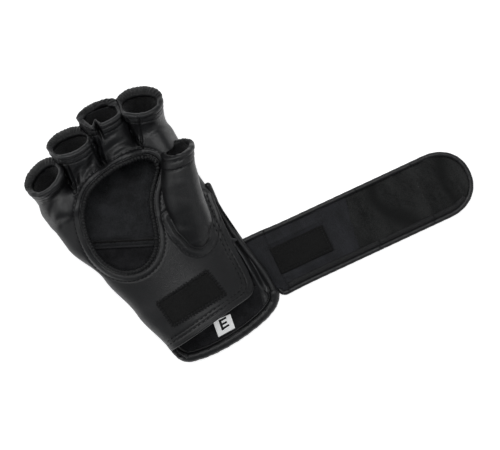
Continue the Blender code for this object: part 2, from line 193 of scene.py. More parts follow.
def finger_curve(finger, t):
    """Middle, sideways, palmwards and outwards directions of a finger at shares t of its way, straight below 0."""
    root, mouth = (np.array(v, float) for v in FINGERS[finger][:2])
    t = np.asarray(t, float)[..., None]
    reach = mouth[1] - root[1]
    lean = (mouth[0] - root[0]) * 0.3
    p1 = root + (lean, reach * 0.45, 0)
    p2 = mouth - (lean, math.cos(MOUTH_TILT) * reach * 0.4, math.sin(MOUTH_TILT) * reach * 0.4)
    s = np.clip(t, 0, 1)
    at = (1 - s) ** 3 * root + 3 * (1 - s) ** 2 * s * p1 + 3 * (1 - s) * s * s * p2 + s**3 * mouth
    start, end = 3 * (p1 - root), 3 * (mouth - p2)
    at = at + np.minimum(t, 0) * np.array((0, start[1], 0)) + np.maximum(t - 1, 0) * end
    tilt = MOUTH_TILT * smooth(t)
    turn = math.radians(FINGERS[finger][4]) * smooth(t)
    ahead = np.concatenate((-np.sin(turn), np.cos(turn), 0 * turn), -1)
    side = np.concatenate((np.cos(turn), np.sin(turn), 0 * turn), -1)
    high = np.array((0, 0, 1.0))
    return at, side, np.cos(tilt) * high - np.sin(tilt) * ahead, np.cos(tilt) * ahead + np.sin(tilt) * high


FINGER_STEPS = np.linspace(-0.9, 1.35, 22)


def finger_local(finger, p):
    """Share of the way, sideways and palmwards offsets of points from a finger's middle line."""
    at = finger_curve(finger, FINGER_STEPS)[0]
    t = FINGER_STEPS[np.argmin(((p[:, None, 1:] - at[None, :, 1:]) ** 2).sum(-1), 1)]
    speed = np.linalg.norm(at[1:] - at[:-1], axis=1).mean() / (FINGER_STEPS[1] - FINGER_STEPS[0])
    for _ in range(3):
        at, side, palm, out = finger_curve(finger, t)
        d = p - at
        t = np.clip(t + (d * out).sum(-1) / speed, -1.0, 1.5)
    at, side, palm, out = finger_curve(finger, t)
    d = p - at
    return t, (d * side).sum(-1), (d * palm).sum(-1)


def finger_field(finger, p, inset=0.0, shift=0.0, drop=0.0):
    """Distance outside a finger, with the share of the way, sideways and palmwards offsets."""
    t, u, w = finger_local(finger, p)
    half, deep = FINGERS[finger][2:4]
    s = np.clip(t, -0.5, 1.2)
    wide = half[0] + (half[1] - half[0]) * s - inset
    tall = deep[0] + (deep[1] - deep[0]) * s - inset - drop
    d = ellipse_distance(u, w - shift, wide, tall, 2.2)
    if finger == "middle":
        inner = inset > 0
        fold = bell(u + PINCH_BESIDE + 3.0 * (1 - t), PINCH_WIDE + 0.4 * inner)
        d = d + (PINCH_DEEP + 1.5 * inner) * fold * smooth((t - 0.5) / 0.4) * smooth((w + 2) / 8)
    return smax(d, (-0.75 - t) * 30, 6.0), t, u, w


def finger_fields(p, inset=0.0, shift=0.0, drop=0.0):
    return {finger: finger_field(finger, p, inset, shift, drop) for finger in FINGERS}


def finger_lead(fields, finger):
    """Above 0 where a point belongs to this finger more than to its neighbours."""
    names = list(FINGERS)
    k = names.index(finger)
    return np.min([fields[names[j]][0] for j in (k - 1, k + 1) if 0 <= j < 4], axis=0) - fields[finger][0]


THUMB_ALONG = unit(THUMB_MOUTH - THUMB_BASE)
THUMB_SIDE = unit(np.cross(THUMB_ALONG, (0, 0, 1)))
THUMB_UP = np.cross(THUMB_SIDE, THUMB_ALONG)
THUMB_LENGTH = float(np.linalg.norm(THUMB_MOUTH - THUMB_BASE))
THUMB_OUT = unit(THUMB_ALONG + 0.3 * THUMB_UP - 0.1 * THUMB_SIDE)


def thumb_local(p):
    d = p - THUMB_BASE
    t = (d @ THUMB_ALONG) / THUMB_LENGTH
    bow = 5.0 * np.sin(PI * np.clip(t, 0, 1)) + 4.5 * smooth((0.28 - t) / 0.4)
    return t, d @ THUMB_SIDE + bow, d @ THUMB_UP


def thumb_field(p, inset=0.0):
    t, u, w = thumb_local(p)
    half, tall = table(THUMB, t)
    d = ellipse_distance(u, w, np.maximum(half - inset, 1), np.maximum(tall - inset, 1), 2.1)
    return smax(d, (-0.27 - t) * THUMB_LENGTH, 8.0)


def palm_creases(p):
    """How deep, in millimetres, folds press the leather in near the finger roots and beside the little finger."""
    x, y, z = p.T
    n = value_noise(p, 9.0, 3)
    deep = 0
    for x0, y0, x1, y1, amount, width in CREASES:
        ax, ay = x1 - x0, y1 - y0
        length = math.hypot(ax, ay)
        along = ((x - x0) * ax + (y - y0) * ay) / length
        across = ((x - x0) * ay - (y - y0) * ax) / length + n * 1.0
        bend = 2.0 * np.sin(along / length * PI)
        inside = smooth(along / length * 3) * smooth((1 - along / length) * 3)
        d = across + bend
        deep = deep + amount * inside * (bell(d, width) - 0.45 * bell(np.abs(d) - 2.2 * width, width * 1.1))
    return deep * smooth((z - 24) / 8)


# x and y of a fold's two ends, depth, width
CREASES = (
    (2, 78, 29, 77, 0.9, 1.8),
    (1, 86, 29, 87, 0.7, 1.8),
    (6, 70.5, 27, 69.5, 0.7, 1.6),
    (-31, 67, -16, 82, 0.9, 1.9),
    (-26, 66, -6, 79, 0.9, 1.8),
    (-14, 67, -3, 86, 0.5, 2.0),
    (36, 80, 60, 80, 0.6, 1.9),
    (40, 70, 60, 68, 0.5, 1.8),
    (-64, 72, -42, 76, 0.6, 1.9),
    (-66, 58, -48, 68, 0.6, 2.2),
    (-62, 44, -50, 58, 0.5, 2.4),
    (12, 66, 30, 66, 0.4, 1.8),
    (44, 50, 40, 38, 0.5, 2.0),
)


def skin_field(p, relief=False):
    """Distance outside the glove's outer skin, without the thumb's sleeve; with relief, its seams and folds too."""
    y, z = p[:, 1], p[:, 2]
    d = smax(body_field(p), y - HAND_END, 7.0)
    out = np.zeros(len(p))
    near = y > FINGERS_FROM
    if near.any():
        q = p[near]
        fields = finger_fields(q)
        fingers = None
        for finger, (f, t, u, w) in fields.items():
            fingers = f if fingers is None else smin(fingers, f, 1.2)
            if relief:
                s = mouth_value(finger, q)
                mine = smooth((finger_lead(fields, finger) + 0.5) / 1.0) * smooth((q[:, 1] - 66) / 6)
                front, rear = smooth((w + 2) / 6), smooth((-w - 1) / 3)
                hem = 0.7 * smooth((7.6 - s) / 1.2) - 0.9 * bell(s - 8.1, 0.8) - 0.6 * bell(s - 2.6, 0.7)
                out[near] += mine * front * hem
                out[near] += mine * rear * (0.5 * smooth((5.4 - s) / 1.2) - 0.7 * bell(s - 5.9, 0.8))
        d[near] = smin(d[near], fingers + 14 * smooth((40 - q[:, 1]) / 7), 7.0)
    if not relief:
        return smax(d, 0.0 - z, 1.5)
    top = smooth((z - 20) / 6)
    round_opening = loop_distance(OPENING_LOOP, p[:, :2])
    facing = 0.45 * smooth((7.4 - round_opening) / 1.6)
    grooves = 0.6 * bell(round_opening - RING_STITCH, 0.9) + 0.9 * bell(round_opening - 2.5, 0.8)
    out += top * (y < 70) * (facing - grooves)
    cuff = cuff_value(p)
    flat = smooth((fold_value(p) - 1) / 3) * (y < 12)
    grooves = sum(0.4 * bell(cuff - at, 0.7) for at in CUFF_STITCHES)
    out += flat * (0.3 * smooth((CUFF_STITCHES[0] - cuff) / 1.2) - grooves)
    beside = line_distance(THUMB_SEAM, p[:, :2])
    welt = 0.9 * bell(beside - 3.6, 1.8) - 0.7 * bell(beside - WELT_STITCH, 0.9) + 0.25 * bell(beside - 9.5, 1.4)
    out += (z > 8) * smooth((fold_value(p) - 1) / 3) * welt
    q = (y > 60) & (z > 22)
    if q.any():
        for line in V_SEAMS:
            away = line_distance(line, p[q][:, :2])
            out[q] += -0.8 * bell(away, 0.8) + 0.4 * bell(away - 2.0, 0.9)
    d = d + palm_creases(p) - 0.35 * value_noise(p, 26.0, 5) * smooth((z - 15) / 10)
    return smax(d - out, 0.0 - z, 1.5)


def sleeve_field(p):
    """Distance outside the thumb's sleeve, with its hem and its soft folds."""
    d = thumb_field(p)
    s = thumb_mouth_value(p)
    t, u, w = thumb_local(p)
    hem = 0.55 * smooth((8.2 - s) / 1.2) - 0.9 * bell(s - 8.7, 0.8) - 0.4 * bell(s - 2.4, 0.7)
    folds = 0
    for at, lean, amount, width in SLEEVE_FOLDS:
        across = (t - at) * THUMB_LENGTH + lean * u + 1.5 * value_noise(p, 12.0, 7)
        folds = folds + amount * bell(across, width) * smooth(w / 8)
    return d - hem + folds


def gradient(field, p, h=0.25):
    g = np.empty_like(p)
    for k in range(3):
        step = np.zeros(3)
        step[k] = h
        g[:, k] = field(p + step) - field(p - step)
    return unit(g)


# ------------------------------------------------------------------ a mesh from a field


def surface_net(field, low, high, step):
    """Quads on the surface where the field is 0: one vertex in each cell that the surface crosses."""
    axes = [np.arange(a, b + step, step) for a, b in zip(low, high)]
    shape = tuple(len(a) for a in axes)
    grid = np.stack(np.meshgrid(*axes, indexing="ij"), -1).reshape(-1, 3)
    f = np.concatenate([field(part) for part in np.array_split(grid, 12)]).reshape(shape)
    f[np.abs(f) < 1e-4] = 1e-4
    inside = f < 0
    cells = tuple(n - 1 for n in shape)
    total, count = np.zeros(cells + (3,)), np.zeros(cells)
    quads = []
    corner = np.stack(np.meshgrid(*[np.arange(n) for n in cells], indexing="ij"), -1)
    for axis in range(3):
        others = [k for k in range(3) if k != axis]
        a = np.take(f, range(shape[axis] - 1), axis)
        b = np.take(f, range(1, shape[axis]), axis)
        cross = (a < 0) != (b < 0)
        t = np.where(cross, a / np.where(cross, a - b, 1), 0)
        for i in (0, 1):
            for j in (0, 1):
                cut = [slice(None)] * 3
                cut[others[0]] = slice(i, i + cells[others[0]])
                cut[others[1]] = slice(j, j + cells[others[1]])
                hit, at = cross[tuple(cut)], t[tuple(cut)]
                total[..., axis] += np.where(hit, at, 0)
                total[..., others[0]] += np.where(hit, i, 0)
                total[..., others[1]] += np.where(hit, j, 0)
                count += hit
        cut = [slice(None)] * 3
        cut[others[0]] = slice(1, shape[others[0]] - 1)
        cut[others[1]] = slice(1, shape[others[1]] - 1)
        hits = np.argwhere(cross[tuple(cut)])
        hits[:, others[0]] += 1
        hits[:, others[1]] += 1
        e0, e1 = np.eye(3, dtype=int)[others[0]], np.eye(3, dtype=int)[others[1]]
        ring = np.stack((hits - e0 - e1, hits - e1, hits, hits - e0), 1)
        flip = inside[tuple(hits.T)] ^ (axis == 1)
        ring[~flip] = ring[~flip][:, ::-1]
        quads.append(ring)
    used = count > 0
    index = np.full(cells, -1)
    index[used] = np.arange(used.sum())
    verts = (corner[used] + total[used] / count[used][:, None]) * step + np.array(low)
    faces = np.concatenate([index[tuple(np.moveaxis(q, -1, 0))] for q in quads])
    return verts, faces


def relax(field, verts, faces, times=2):
    """Evens out the mesh along its surface, lays it exactly on the field's zero and turns it into triangles."""
    sides = np.concatenate([faces[:, [k, (k + 1) % 4]] for k in range(4)])
    edges = np.unique(np.sort(sides, 1), axis=0)
    degree = np.zeros(len(verts))
    np.add.at(degree, edges.ravel(), 1)
    for _ in range(times):
        mean = np.zeros_like(verts)
        np.add.at(mean, edges[:, 0], verts[edges[:, 1]])
        np.add.at(mean, edges[:, 1], verts[edges[:, 0]])
        mean /= np.maximum(degree, 1)[:, None]
        verts = verts + 0.6 * (mean - verts)
        verts = verts - gradient(field, verts) * np.clip(field(verts), -1, 1)[:, None]
    normals = gradient(field, verts)
    tris = np.vstack((faces[:, [0, 1, 2]], faces[:, [0, 2, 3]]))
    a, b, c = (verts[tris[:, k]] for k in range(3))
    if np.median((np.cross(b - a, c - a) * normals[tris[:, 0]]).sum(1)) < 0:
        tris = tris[:, ::-1]
    return verts, tris, normals


def clip(mesh, value):
    """Keeps the part of a triangle mesh (points, triangles, normals) where value(points) is above 0."""
    verts, tris, normals = mesh
    v = value(verts)
    keep = v > 0
    inside = keep[tris].sum(1)
    whole = tris[inside == 3]
    new_verts, new_normals, cuts, out = [], [], {}, []
    count = len(verts)

    def crossing(i, j):
        a, b = (i, j) if i < j else (j, i)
        if (a, b) not in cuts:
            t = min(max(v[a] / (v[a] - v[b]), 0.02), 0.98)
            new_verts.append(verts[a] * (1 - t) + verts[b] * t)
            new_normals.append(normals[a] * (1 - t) + normals[b] * t)
            cuts[a, b] = count + len(new_verts) - 1
        return cuts[a, b]

    for tri in tris[(inside > 0) & (inside < 3)].tolist():
        ring = []
        for k in range(3):
            i, j = tri[k], tri[(k + 1) % 3]
            if keep[i]:
                ring.append(i)
            if keep[i] != keep[j]:
                ring.append(crossing(i, j))
        out += [(ring[0], ring[k], ring[k + 1]) for k in range(1, len(ring) - 1)]
    if new_verts:
        verts = np.vstack((verts, new_verts))
        normals = np.vstack((normals, unit(np.array(new_normals))))
    tris = np.vstack((whole, np.array(out, int).reshape(-1, 3)))
    used = np.unique(tris)
    order = np.full(len(verts), -1)
    order[used] = np.arange(len(used))
    return verts[used], order[tris], normals[used]


def main_island(mesh, share=0.04):
    """Drops crumbs: keeps the joined parts of a mesh that hold at least this share of its triangles."""
    verts, tris, normals = mesh
    label = np.arange(len(verts))
    while True:
        low = label[tris].min(1)
        new = label.copy()
        for k in range(3):
            np.minimum.at(new, tris[:, k], low)
        new = new[new]
        if (new == label).all():
            break
        label = new
    sizes = np.bincount(label[tris[:, 0]])
    tris = tris[sizes[label[tris[:, 0]]] >= share * len(tris)]
    used = np.unique(tris)
    order = np.full(len(verts), -1)
    order[used] = np.arange(len(used))
    return verts[used], order[tris], normals[used]


# ------------------------------------------------------------------ objects

PIECES = {}


def put(name, verts, faces, mat, loop_normals=None, smooth_faces=True):
    mesh = bpy.data.meshes.new(name)
    verts = np.asarray(verts, float)
    if isinstance(faces, np.ndarray):
        faces = faces.tolist()
    mesh.from_pydata((verts * MM).tolist(), [], faces)
    mesh.validate(clean_customdata=False)
    mesh.polygons.foreach_set("use_smooth", [smooth_faces] * len(mesh.polygons))
    if loop_normals is not None and len(loop_normals) == len(mesh.loops):
        mesh.normals_split_custom_set(loop_normals.tolist())
    mesh.materials.append(mat)
    obj = bpy.data.objects.new(name, mesh)
    bpy.context.scene.collection.objects.link(obj)
    PIECES[name] = obj
    return obj


def shell(name, mesh, thick, mat):
    """A skin with a thickness, laid inwards from its outer face, closed along its edges."""
    verts, tris, normals = mesh
    n = len(verts)
    inner = verts - normals * thick
    all_edges = np.concatenate((tris[:, [0, 1]], tris[:, [1, 2]], tris[:, [2, 0]]))
    key = np.sort(all_edges, 1)
    _, first, counts = np.unique(key, axis=0, return_index=True, return_counts=True)
    rim = all_edges[first[counts == 1]]
    i, j = rim.T
    rim_tris = np.concatenate((np.stack((j, i, i + n), 1), np.stack((j, i + n, j + n), 1)))
    points = np.vstack((verts, inner))
    faces = np.vstack((tris, tris[:, ::-1] + n, rim_tris))
    vertex_normals = np.vstack((normals, -normals))
    loops = vertex_normals[faces].copy()
    a, b, c = (points[rim_tris[:, k]] for k in range(3))
    flat = unit(np.cross(b - a, c - a))
    loops[-len(rim_tris):] = flat[:, None, :]
    return put(name, points, faces, mat, loops.reshape(-1, 3))


def grid_of(u, v):
    """All pairs of two lists of values, as two flat arrays."""
    return (g.ravel() for g in np.meshgrid(u, v, indexing="ij"))


def grid_faces(rows, columns, loop_rows=False, loop_columns=False):
    """Quads between neighbours in a grid of points; rows or columns may close on themselves."""
    faces = []
    for i in range(rows if loop_rows else rows - 1):
        j = (i + 1) % rows
        for k in range(columns if loop_columns else columns - 1):
            m = (k + 1) % columns
            faces.append((i * columns + k, i * columns + m, j * columns + m, j * columns + k))
    return faces


def ends(sides, count):
    """The two caps of a tube of rings."""
    return [tuple(range(sides))[::-1], tuple(range((count - 1) * sides, count * sides))]


def upwards(count):
    return np.tile((0, 0, 1.0), (count, 1))


def frames_along(points, normals, closed):
    points = np.asarray(points, float)
    if closed:
        tangent = np.roll(points, -1, 0) - np.roll(points, 1, 0)
    else:
        tangent = np.gradient(points, axis=0)
    tangent = unit(tangent)
    normal = unit(normals - (normals * tangent).sum(1, keepdims=True) * tangent)
    return tangent, normal, np.cross(tangent, normal)


def cord(name, points, normals, wide, high, mat, closed=True, sides=12, ripple=None, taper=True):
    """A roll or piping: an ellipse swept along points. wide lies in the surface, high along its normal."""
    points = np.asarray(points, float)
    _, up, side = frames_along(points, normals, closed)
    count = len(points)
    wide, high = np.broadcast_to(wide, count), np.broadcast_to(high, count)
    angle = np.linspace(0, 2 * PI, sides, endpoint=False)
    scale = np.ones(count)
    if not closed and taper:
        k = np.arange(count)
        scale = np.sqrt(np.clip(1 - np.clip(1 - np.minimum(k, k[::-1]) / 2.5, 0, 1) ** 2, 0.02, 1))
    ring = (
        points[:, None]
        + side[:, None] * (np.cos(angle)[None, :, None] * (wide * scale)[:, None, None])
        + up[:, None] * (np.sin(angle)[None, :, None] * (high * scale)[:, None, None])
    )
    if ripple is not None:
        ring = ring + (ring - points[:, None]) * ripple[:, None, None]
    verts = ring.reshape(-1, 3)
    faces = grid_faces(count, sides, closed, True)
    return put(name, verts, faces if closed else faces + ends(sides, count), mat)


def resample(points, step, closed=False, extra=None):
    """Points evenly spaced along a line; extra columns, such as normals, are carried along."""
    points = np.asarray(points, float)
    if closed:
        points = np.vstack((points, points[:1]))
        if extra is not None:
            extra = np.vstack((extra, extra[:1]))
    length = np.concatenate(([0], np.cumsum(np.linalg.norm(np.diff(points, axis=0), axis=1))))
    count = max(2, int(round(length[-1] / step)) + (0 if closed else 1))
    at = np.linspace(0, length[-1], count, endpoint=not closed)
    out = np.stack([np.interp(at, length, points[:, k]) for k in range(points.shape[1])], 1)
    if extra is None:
        return out
    return out, np.stack([np.interp(at, length, extra[:, k]) for k in range(extra.shape[1])], 1)


def curve_through(corners, closed=False, per=8):
    """A Catmull-Rom curve through corners."""
    c = np.asarray(corners, float)
    n = len(c)
    out = []
    for i in range(n if closed else n - 1):
        if closed:
            a, b, d, e = (c[(i + k) % n] for k in (-1, 0, 1, 2))
        else:
            a, b, d, e = c[max(i - 1, 0)], c[i], c[i + 1], c[min(i + 2, n - 1)]
        for t in np.arange(per) / per:
            square, cube = 2 * a - 5 * b + 4 * d - e, 3 * b - a - 3 * d + e
            out.append(0.5 * (2 * b + (d - a) * t + square * t * t + cube * t**3))
    if not closed:
        out.append(c[-1])
    return np.array(out)


# the thread of each body: its stitches' points, their faces and how many points there are
STITCHES = {}
STITCH_SIDES = 6


def stitch(body, points, normals, closed=False, length=2.6, gap=1.1, radius=0.42, lift=0.0):
    """Adds a row of stitches along points to a body's thread."""
    pitch = length + gap
    p, n = resample(points, pitch, closed, np.asarray(normals, float))
    tangent, up, _ = frames_along(p, n, closed)
    half = length / 2
    profile = ((-1.0, 0.35, -0.7), (-0.82, 0.9, -0.1), (0.0, 1.0, 0.35), (0.82, 0.9, -0.1), (1.0, 0.35, -0.7))
    angle = np.linspace(0, 2 * PI, STITCH_SIDES, endpoint=False)
    wheel = np.stack((np.cos(angle), np.sin(angle)), 1)
    local = grid_faces(len(profile), STITCH_SIDES, False, True) + ends(STITCH_SIDES, len(profile))
    cross = np.cross(tangent, up)
    store = STITCHES.setdefault(body, [[], [], 0])
    for k in range(len(p)):
        rings = []
        for along, size, rise in profile:
            centre = p[k] + tangent[k] * along * half + up[k] * (lift + rise * radius)
            rings.append(centre + size * radius * (wheel[:, :1] * cross[k] + wheel[:, 1:] * up[k]))
        store[0].append(np.vstack(rings))
        store[1] += [tuple(store[2] + i for i in face) for face in local]
        store[2] += len(profile) * STITCH_SIDES


# ------------------------------------------------------------------ lines on the glove

OPENING_LOOP = resample(curve_through(OPENING, True, 8), 1.6, True)


def loop_distance(loop, xy):
    """Distance from a closed loop in the plane, negative inside it."""
    a, b = loop, np.roll(loop, -1, 0)
    out = np.empty(len(xy))
    for part in np.array_split(np.arange(len(xy)), max(1, len(xy) // 8000)):
        q = xy[part][:, None]
        ab = (b - a)[None]
        t = np.clip(((q - a) * ab).sum(-1) / (ab**2).sum(-1), 0, 1)
        d = np.linalg.norm(q - a - ab * t[..., None], axis=-1).min(1)
        y_between = (a[None, :, 1] > q[..., 1]) != (b[None, :, 1] > q[..., 1])
        rise = np.where(b[:, 1] == a[:, 1], 1e-9, b[:, 1] - a[:, 1])
        x_at = a[None, :, 0] + (q[..., 1] - a[None, :, 1]) / rise * ab[..., 0]
        inside = (y_between & (q[..., 0] < x_at)).sum(1) % 2 == 1
        out[part] = np.where(inside, -d, d)
    return out


def line_distance(line, xy):
    """Distance from an open line in the plane."""
    a, b = np.asarray(line[:-1], float), np.asarray(line[1:], float)
    ab = (b - a)[None]
    t = np.clip(((xy[:, None] - a) * ab).sum(-1) / (ab**2).sum(-1), 0, 1)
    return np.linalg.norm(xy[:, None] - a - ab * t[..., None], axis=-1).min(1)


# y and x of the slit's edge; x and y of the back's edge at the wrist
SLIT = np.array(
    ((-140, 42), (-90, 44), (-70, 48.2), (-47, 50.2), (-23, 54.3), (-8, 57.6), (3, 60.5), (9, 90), (140, 90)),
    float,
)
WRIST_EDGE = np.array(
    (
        (-60, -70), (-46, -84), (-43.5, -92), (-41.6, -101), (-35.3, -107.5), (-15.2, -113.5),
        (10.2, -116.2), (35.4, -114.5), (49.9, -110.7), (57, -104), (59, -96), (80, -70),
    ),
    float,
)


def slit_x(y):
    return np.interp(y, SLIT[:, 0], SLIT[:, 1])


def cuff_value(p):
    """How far a point of the palm lies inside its free edges: the cuff's and the slit's, with a rounded corner."""
    wave = 0.5 * np.sin(p[:, 0] / 17)
    return smin(slit_x(p[:, 1]) - p[:, 0], p[:, 1] - PALM_WRIST_Y - wave, 9.0)


def back_value(p):
    return p[:, 1] - np.interp(p[:, 0], WRIST_EDGE[:, 0], WRIST_EDGE[:, 1])


def fold_value(p):
    """Above 0 on the palm side of the fold between palm and back."""
    x, y, z = p.T
    left, right, _, fold_left, fold_right, _ = table(STATIONS, y)
    c = np.clip((x - (left + right) / 2) / ((right - left) / 2), -1, 1)
    return z - (fold_right + (fold_left - fold_right) * (1 - c) / 2)


def mouth_value(finger, p):
    at, _, _, out = finger_curve(finger, np.array([1.0]))
    return -((p - at[0]) @ out[0])


def thumb_mouth_value(p):
    return -((p - THUMB_MOUTH) @ THUMB_OUT)


def level(xy, z=0.0):
    """Plane points at a height."""
    return np.column_stack((xy, np.broadcast_to(z, len(xy))))


def drop(xy, field=None):
    """Points of a skin straight below places seen from above."""
    field = field or skin_field
    xy = np.asarray(xy, float)
    z = np.full(len(xy), 66.0)
    for _ in range(45):
        z = z - np.clip(field(level(xy, z)) * 0.8, -2, 3)
    return level(xy, z)


def leaving(value, reach):
    """How far along each ray a value, above 0 at its start, falls to 0."""
    hit = np.argmax(value < 0, 1)
    before = np.maximum(hit - 1, 0)
    rows = np.arange(len(value))
    a, b = value[rows, before], value[rows, hit]
    return reach[before] + (reach[1] - reach[0]) * np.clip(a / np.maximum(a - b, 1e-6), 0, 1)


def outline(inside, centre, angles, low, high, step=0.4):
    """Where rays from a centre leave a region of the plane; inside is a function of plane points, above 0 in it."""
    reach = np.arange(low, high, step)
    way = np.stack((np.cos(angles), np.sin(angles)), 1)
    at = np.asarray(centre) + way[:, None] * reach[None, :, None]
    value = inside(at.reshape(-1, 2)).reshape(at.shape[:2])
    return np.asarray(centre) + way * leaving(value, reach)[:, None]


def thumb_seam():
    """The line, seen from above, where the thumb's sleeve comes out of the palm."""
    line = outline(lambda xy: -thumb_field(drop(xy)), (32, -8), np.radians(np.linspace(141, 383, 60)), 4, 40)
    return resample(line, 1.5)


# the seams of the gussets between the fingers, and the finger each lies on
V_SEAM_FINGERS = ("middle", "index", "ring", "middle", "little", "ring")
V_SEAMS = (
    ((32.6, 68.0), (33.3, 78), (36.2, 92)),
    ((34.6, 68.0), (38.5, 74.5), (43.5, 83), (46, 88)),
    ((-2.8, 72.5), (-1.6, 84), (0.5, 96)),
    ((-0.6, 72.2), (4.5, 86), (10.5, 99)),
    ((-35.8, 64.5), (-34.0, 76), (-31.0, 94)),
    ((-34.2, 64.5), (-30.5, 74), (-27.5, 86)),
)
THUMB_SEAM = thumb_seam()


# ------------------------------------------------------------------ materials


def new_material(name, colour, roughness, specular=0.5):
    mat = bpy.data.materials.new(name)
    mat.use_nodes = True
    shader = mat.node_tree.nodes["Principled BSDF"]
    shader.inputs["Base Color"].default_value = (*colour, 1)
    shader.inputs["Roughness"].default_value = roughness
    shader.inputs["Specular IOR Level"].default_value = specular
    return mat, mat.node_tree, shader


def add(tree, kind, **values):
    node = tree.nodes.new("ShaderNode" + kind)
    for key, value in values.items():
        if key in node.inputs:
            node.inputs[key].default_value = value
        else:
            setattr(node, key, value)
    return node


def noise(tree, coords, scale, detail=3.0, rough=0.5):
    node = add(tree, "TexNoise", Scale=scale, Detail=detail, Roughness=rough)
    tree.links.new(coords, node.inputs["Vector"])
    return node.outputs["Fac"]


def cells(tree, coords, scale, feature="F1", randomness=1.0):
    node = add(tree, "TexVoronoi", feature=feature, Scale=scale, Randomness=randomness)
    tree.links.new(coords, node.inputs["Vector"])
    return node.outputs["Distance"]


def ranged(tree, value, low, high, to_low, to_high):
    node = add(tree, "MapRange")
    tree.links.new(value, node.inputs["Value"])
    for key, number in (("From Min", low), ("From Max", high), ("To Min", to_low), ("To Max", to_high)):
        node.inputs[key].default_value = number
    return node.outputs["Result"]


def blended(tree, fac, a, b):
    node = add(tree, "Mix", data_type="RGBA")
    tree.links.new(fac, node.inputs["Factor"])
    node.inputs["A"].default_value = (*a, 1)
    node.inputs["B"].default_value = (*b, 1)
    return node.outputs["Result"]


def bumped(tree, shader, layers):
    """Adds bumps, each (height, distance in metres, strength), on top of each other."""
    last = None
    for height, distance, strength in layers:
        node = add(tree, "Bump", Distance=distance, Strength=strength)
        tree.links.new(height, node.inputs["Height"])
        if last:
            tree.links.new(last, node.inputs["Normal"])
        last = node.outputs["Normal"]
    tree.links.new(last, shader.inputs["Normal"])


def leather_material(name, dark, light, roughness, grain=1.0, specular=0.5):
    mat, tree, shader = new_material(name, dark, roughness, specular)
    coords = add(tree, "TexCoord").outputs["Object"]
    broad = noise(tree, coords, 38, 5, 0.6)
    tree.links.new(blended(tree, ranged(tree, broad, 0.35, 0.7, 0, 1), dark, light), shader.inputs["Base Color"])
    fine = noise(tree, coords, 420, 3, 0.6)
    tree.links.new(ranged(tree, fine, 0.3, 0.7, roughness - 0.06, roughness + 0.09), shader.inputs["Roughness"])
    layers = (
        (noise(tree, coords, 90, 4, 0.6), 0.0007, 0.35 * grain),
        (cells(tree, coords, 1150), 0.00022, 0.5 * grain),
        (noise(tree, coords, 2600, 2, 0.5), 0.0001, 0.3 * grain),
    )
    bumped(tree, shader, layers)
    return mat


def cloth_material(
    name, dark, light, scale, roughness=0.85, bump=0.6, sheen=0.25, regular=0.6, broad=30.0,
    spread=(0.45, 1.0), stretch=1.0, painted_crease_shade=False,
):
    mat, tree, shader = new_material(name, dark, roughness, 0.3)
    coords = add(tree, "TexCoord").outputs["Object"]
    thread = cells(tree, coords, scale, "F1", regular)
    drawn = add(tree, "Mapping", Scale=(1, stretch, 1))
    tree.links.new(coords, drawn.inputs["Vector"])
    wide = noise(tree, drawn.outputs["Vector"], broad, 4, 0.6)
    both = add(tree, "Math", operation="MULTIPLY_ADD")
    tree.links.new(thread, both.inputs[0])
    both.inputs[1].default_value = 0.45
    tree.links.new(wide, both.inputs[2])
    shade = ranged(tree, both.outputs[0], *spread, 0, 1)
    # Painted shade: the crease option lays dark wavy bands into the colour, standing in for the shade in the
    # cloth's creases.
    if painted_crease_shade:
        turned = add(tree, "Mapping", Rotation=(0, 0, 0.3))
        tree.links.new(coords, turned.inputs["Vector"])
        wave = add(tree, "TexWave", Scale=7.5, Distortion=7.0, Detail=2.0)
        wave.inputs["Detail Scale"].default_value = 1.1
        tree.links.new(turned.outputs["Vector"], wave.inputs["Vector"])
        painted_crease_dark = add(tree, "Math", operation="MAXIMUM")
        tree.links.new(shade, painted_crease_dark.inputs[0])
        tree.links.new(ranged(tree, wave.outputs["Fac"], 0.0, 0.3, 0.95, 0), painted_crease_dark.inputs[1])
        shade = painted_crease_dark.outputs[0]
    tree.links.new(blended(tree, shade, light, dark), shader.inputs["Base Color"])
    bumped(tree, shader, ((noise(tree, coords, 120, 3, 0.6), 0.0006, 0.3), (thread, 0.0005, bump)))
    shader.inputs["Sheen Weight"].default_value = sheen
    shader.inputs["Sheen Roughness"].default_value = 0.5
    return mat


LEATHER = leather_material("black_leather", (0.0042, 0.0042, 0.0047), (0.0078, 0.0078, 0.0088), 0.43, 1.0, 0.5)
ROLLED = leather_material("rolled_leather", (0.006, 0.006, 0.0066), (0.0105, 0.0105, 0.0115), 0.42, 0.8, 0.45)
RIBBED = leather_material("ribbed_leather", (0.0023, 0.0023, 0.0027), (0.0047, 0.0047, 0.0054), 0.5, 1.8, 0.3)
THREAD, _, _ = new_material("black_thread", (0.004, 0.004, 0.0045), 0.6, 0.3)
LINING = cloth_material(
    "knit_lining", (0.0075, 0.008, 0.009), (0.0245, 0.0255, 0.0285), 900, 0.8, 0.7, 0.2, 0.6, 90.0, (0.5, 0.85)
)
DARK_LINING = cloth_material(
    "dark_lining", (0.005, 0.005, 0.006), (0.02, 0.02, 0.0225), 1100, 0.85, 0.9, 0.15, 0.6, 110.0, (0.5, 0.85)
)
# Painted shade: a darker copy of the knit lining, used inside the fingers and the thumb to stand in for the shade
# deep in their cavities.
PAINTED_SHADE_LINING = cloth_material(
    "deep_lining", (0.0028, 0.0028, 0.0032), (0.0135, 0.0135, 0.015), 1100, 0.9, 1.2, 0.1, 0.6, 130.0, (0.45, 0.8)
)
SMOOTH_CLOTH = cloth_material(
    "smooth_cloth", (0.004, 0.0042, 0.0056), (0.0165, 0.017, 0.0215), 1000, 0.7, 0.5, 0.2, 0.6, 80.0, (0.5, 0.9),
    0.4,
)
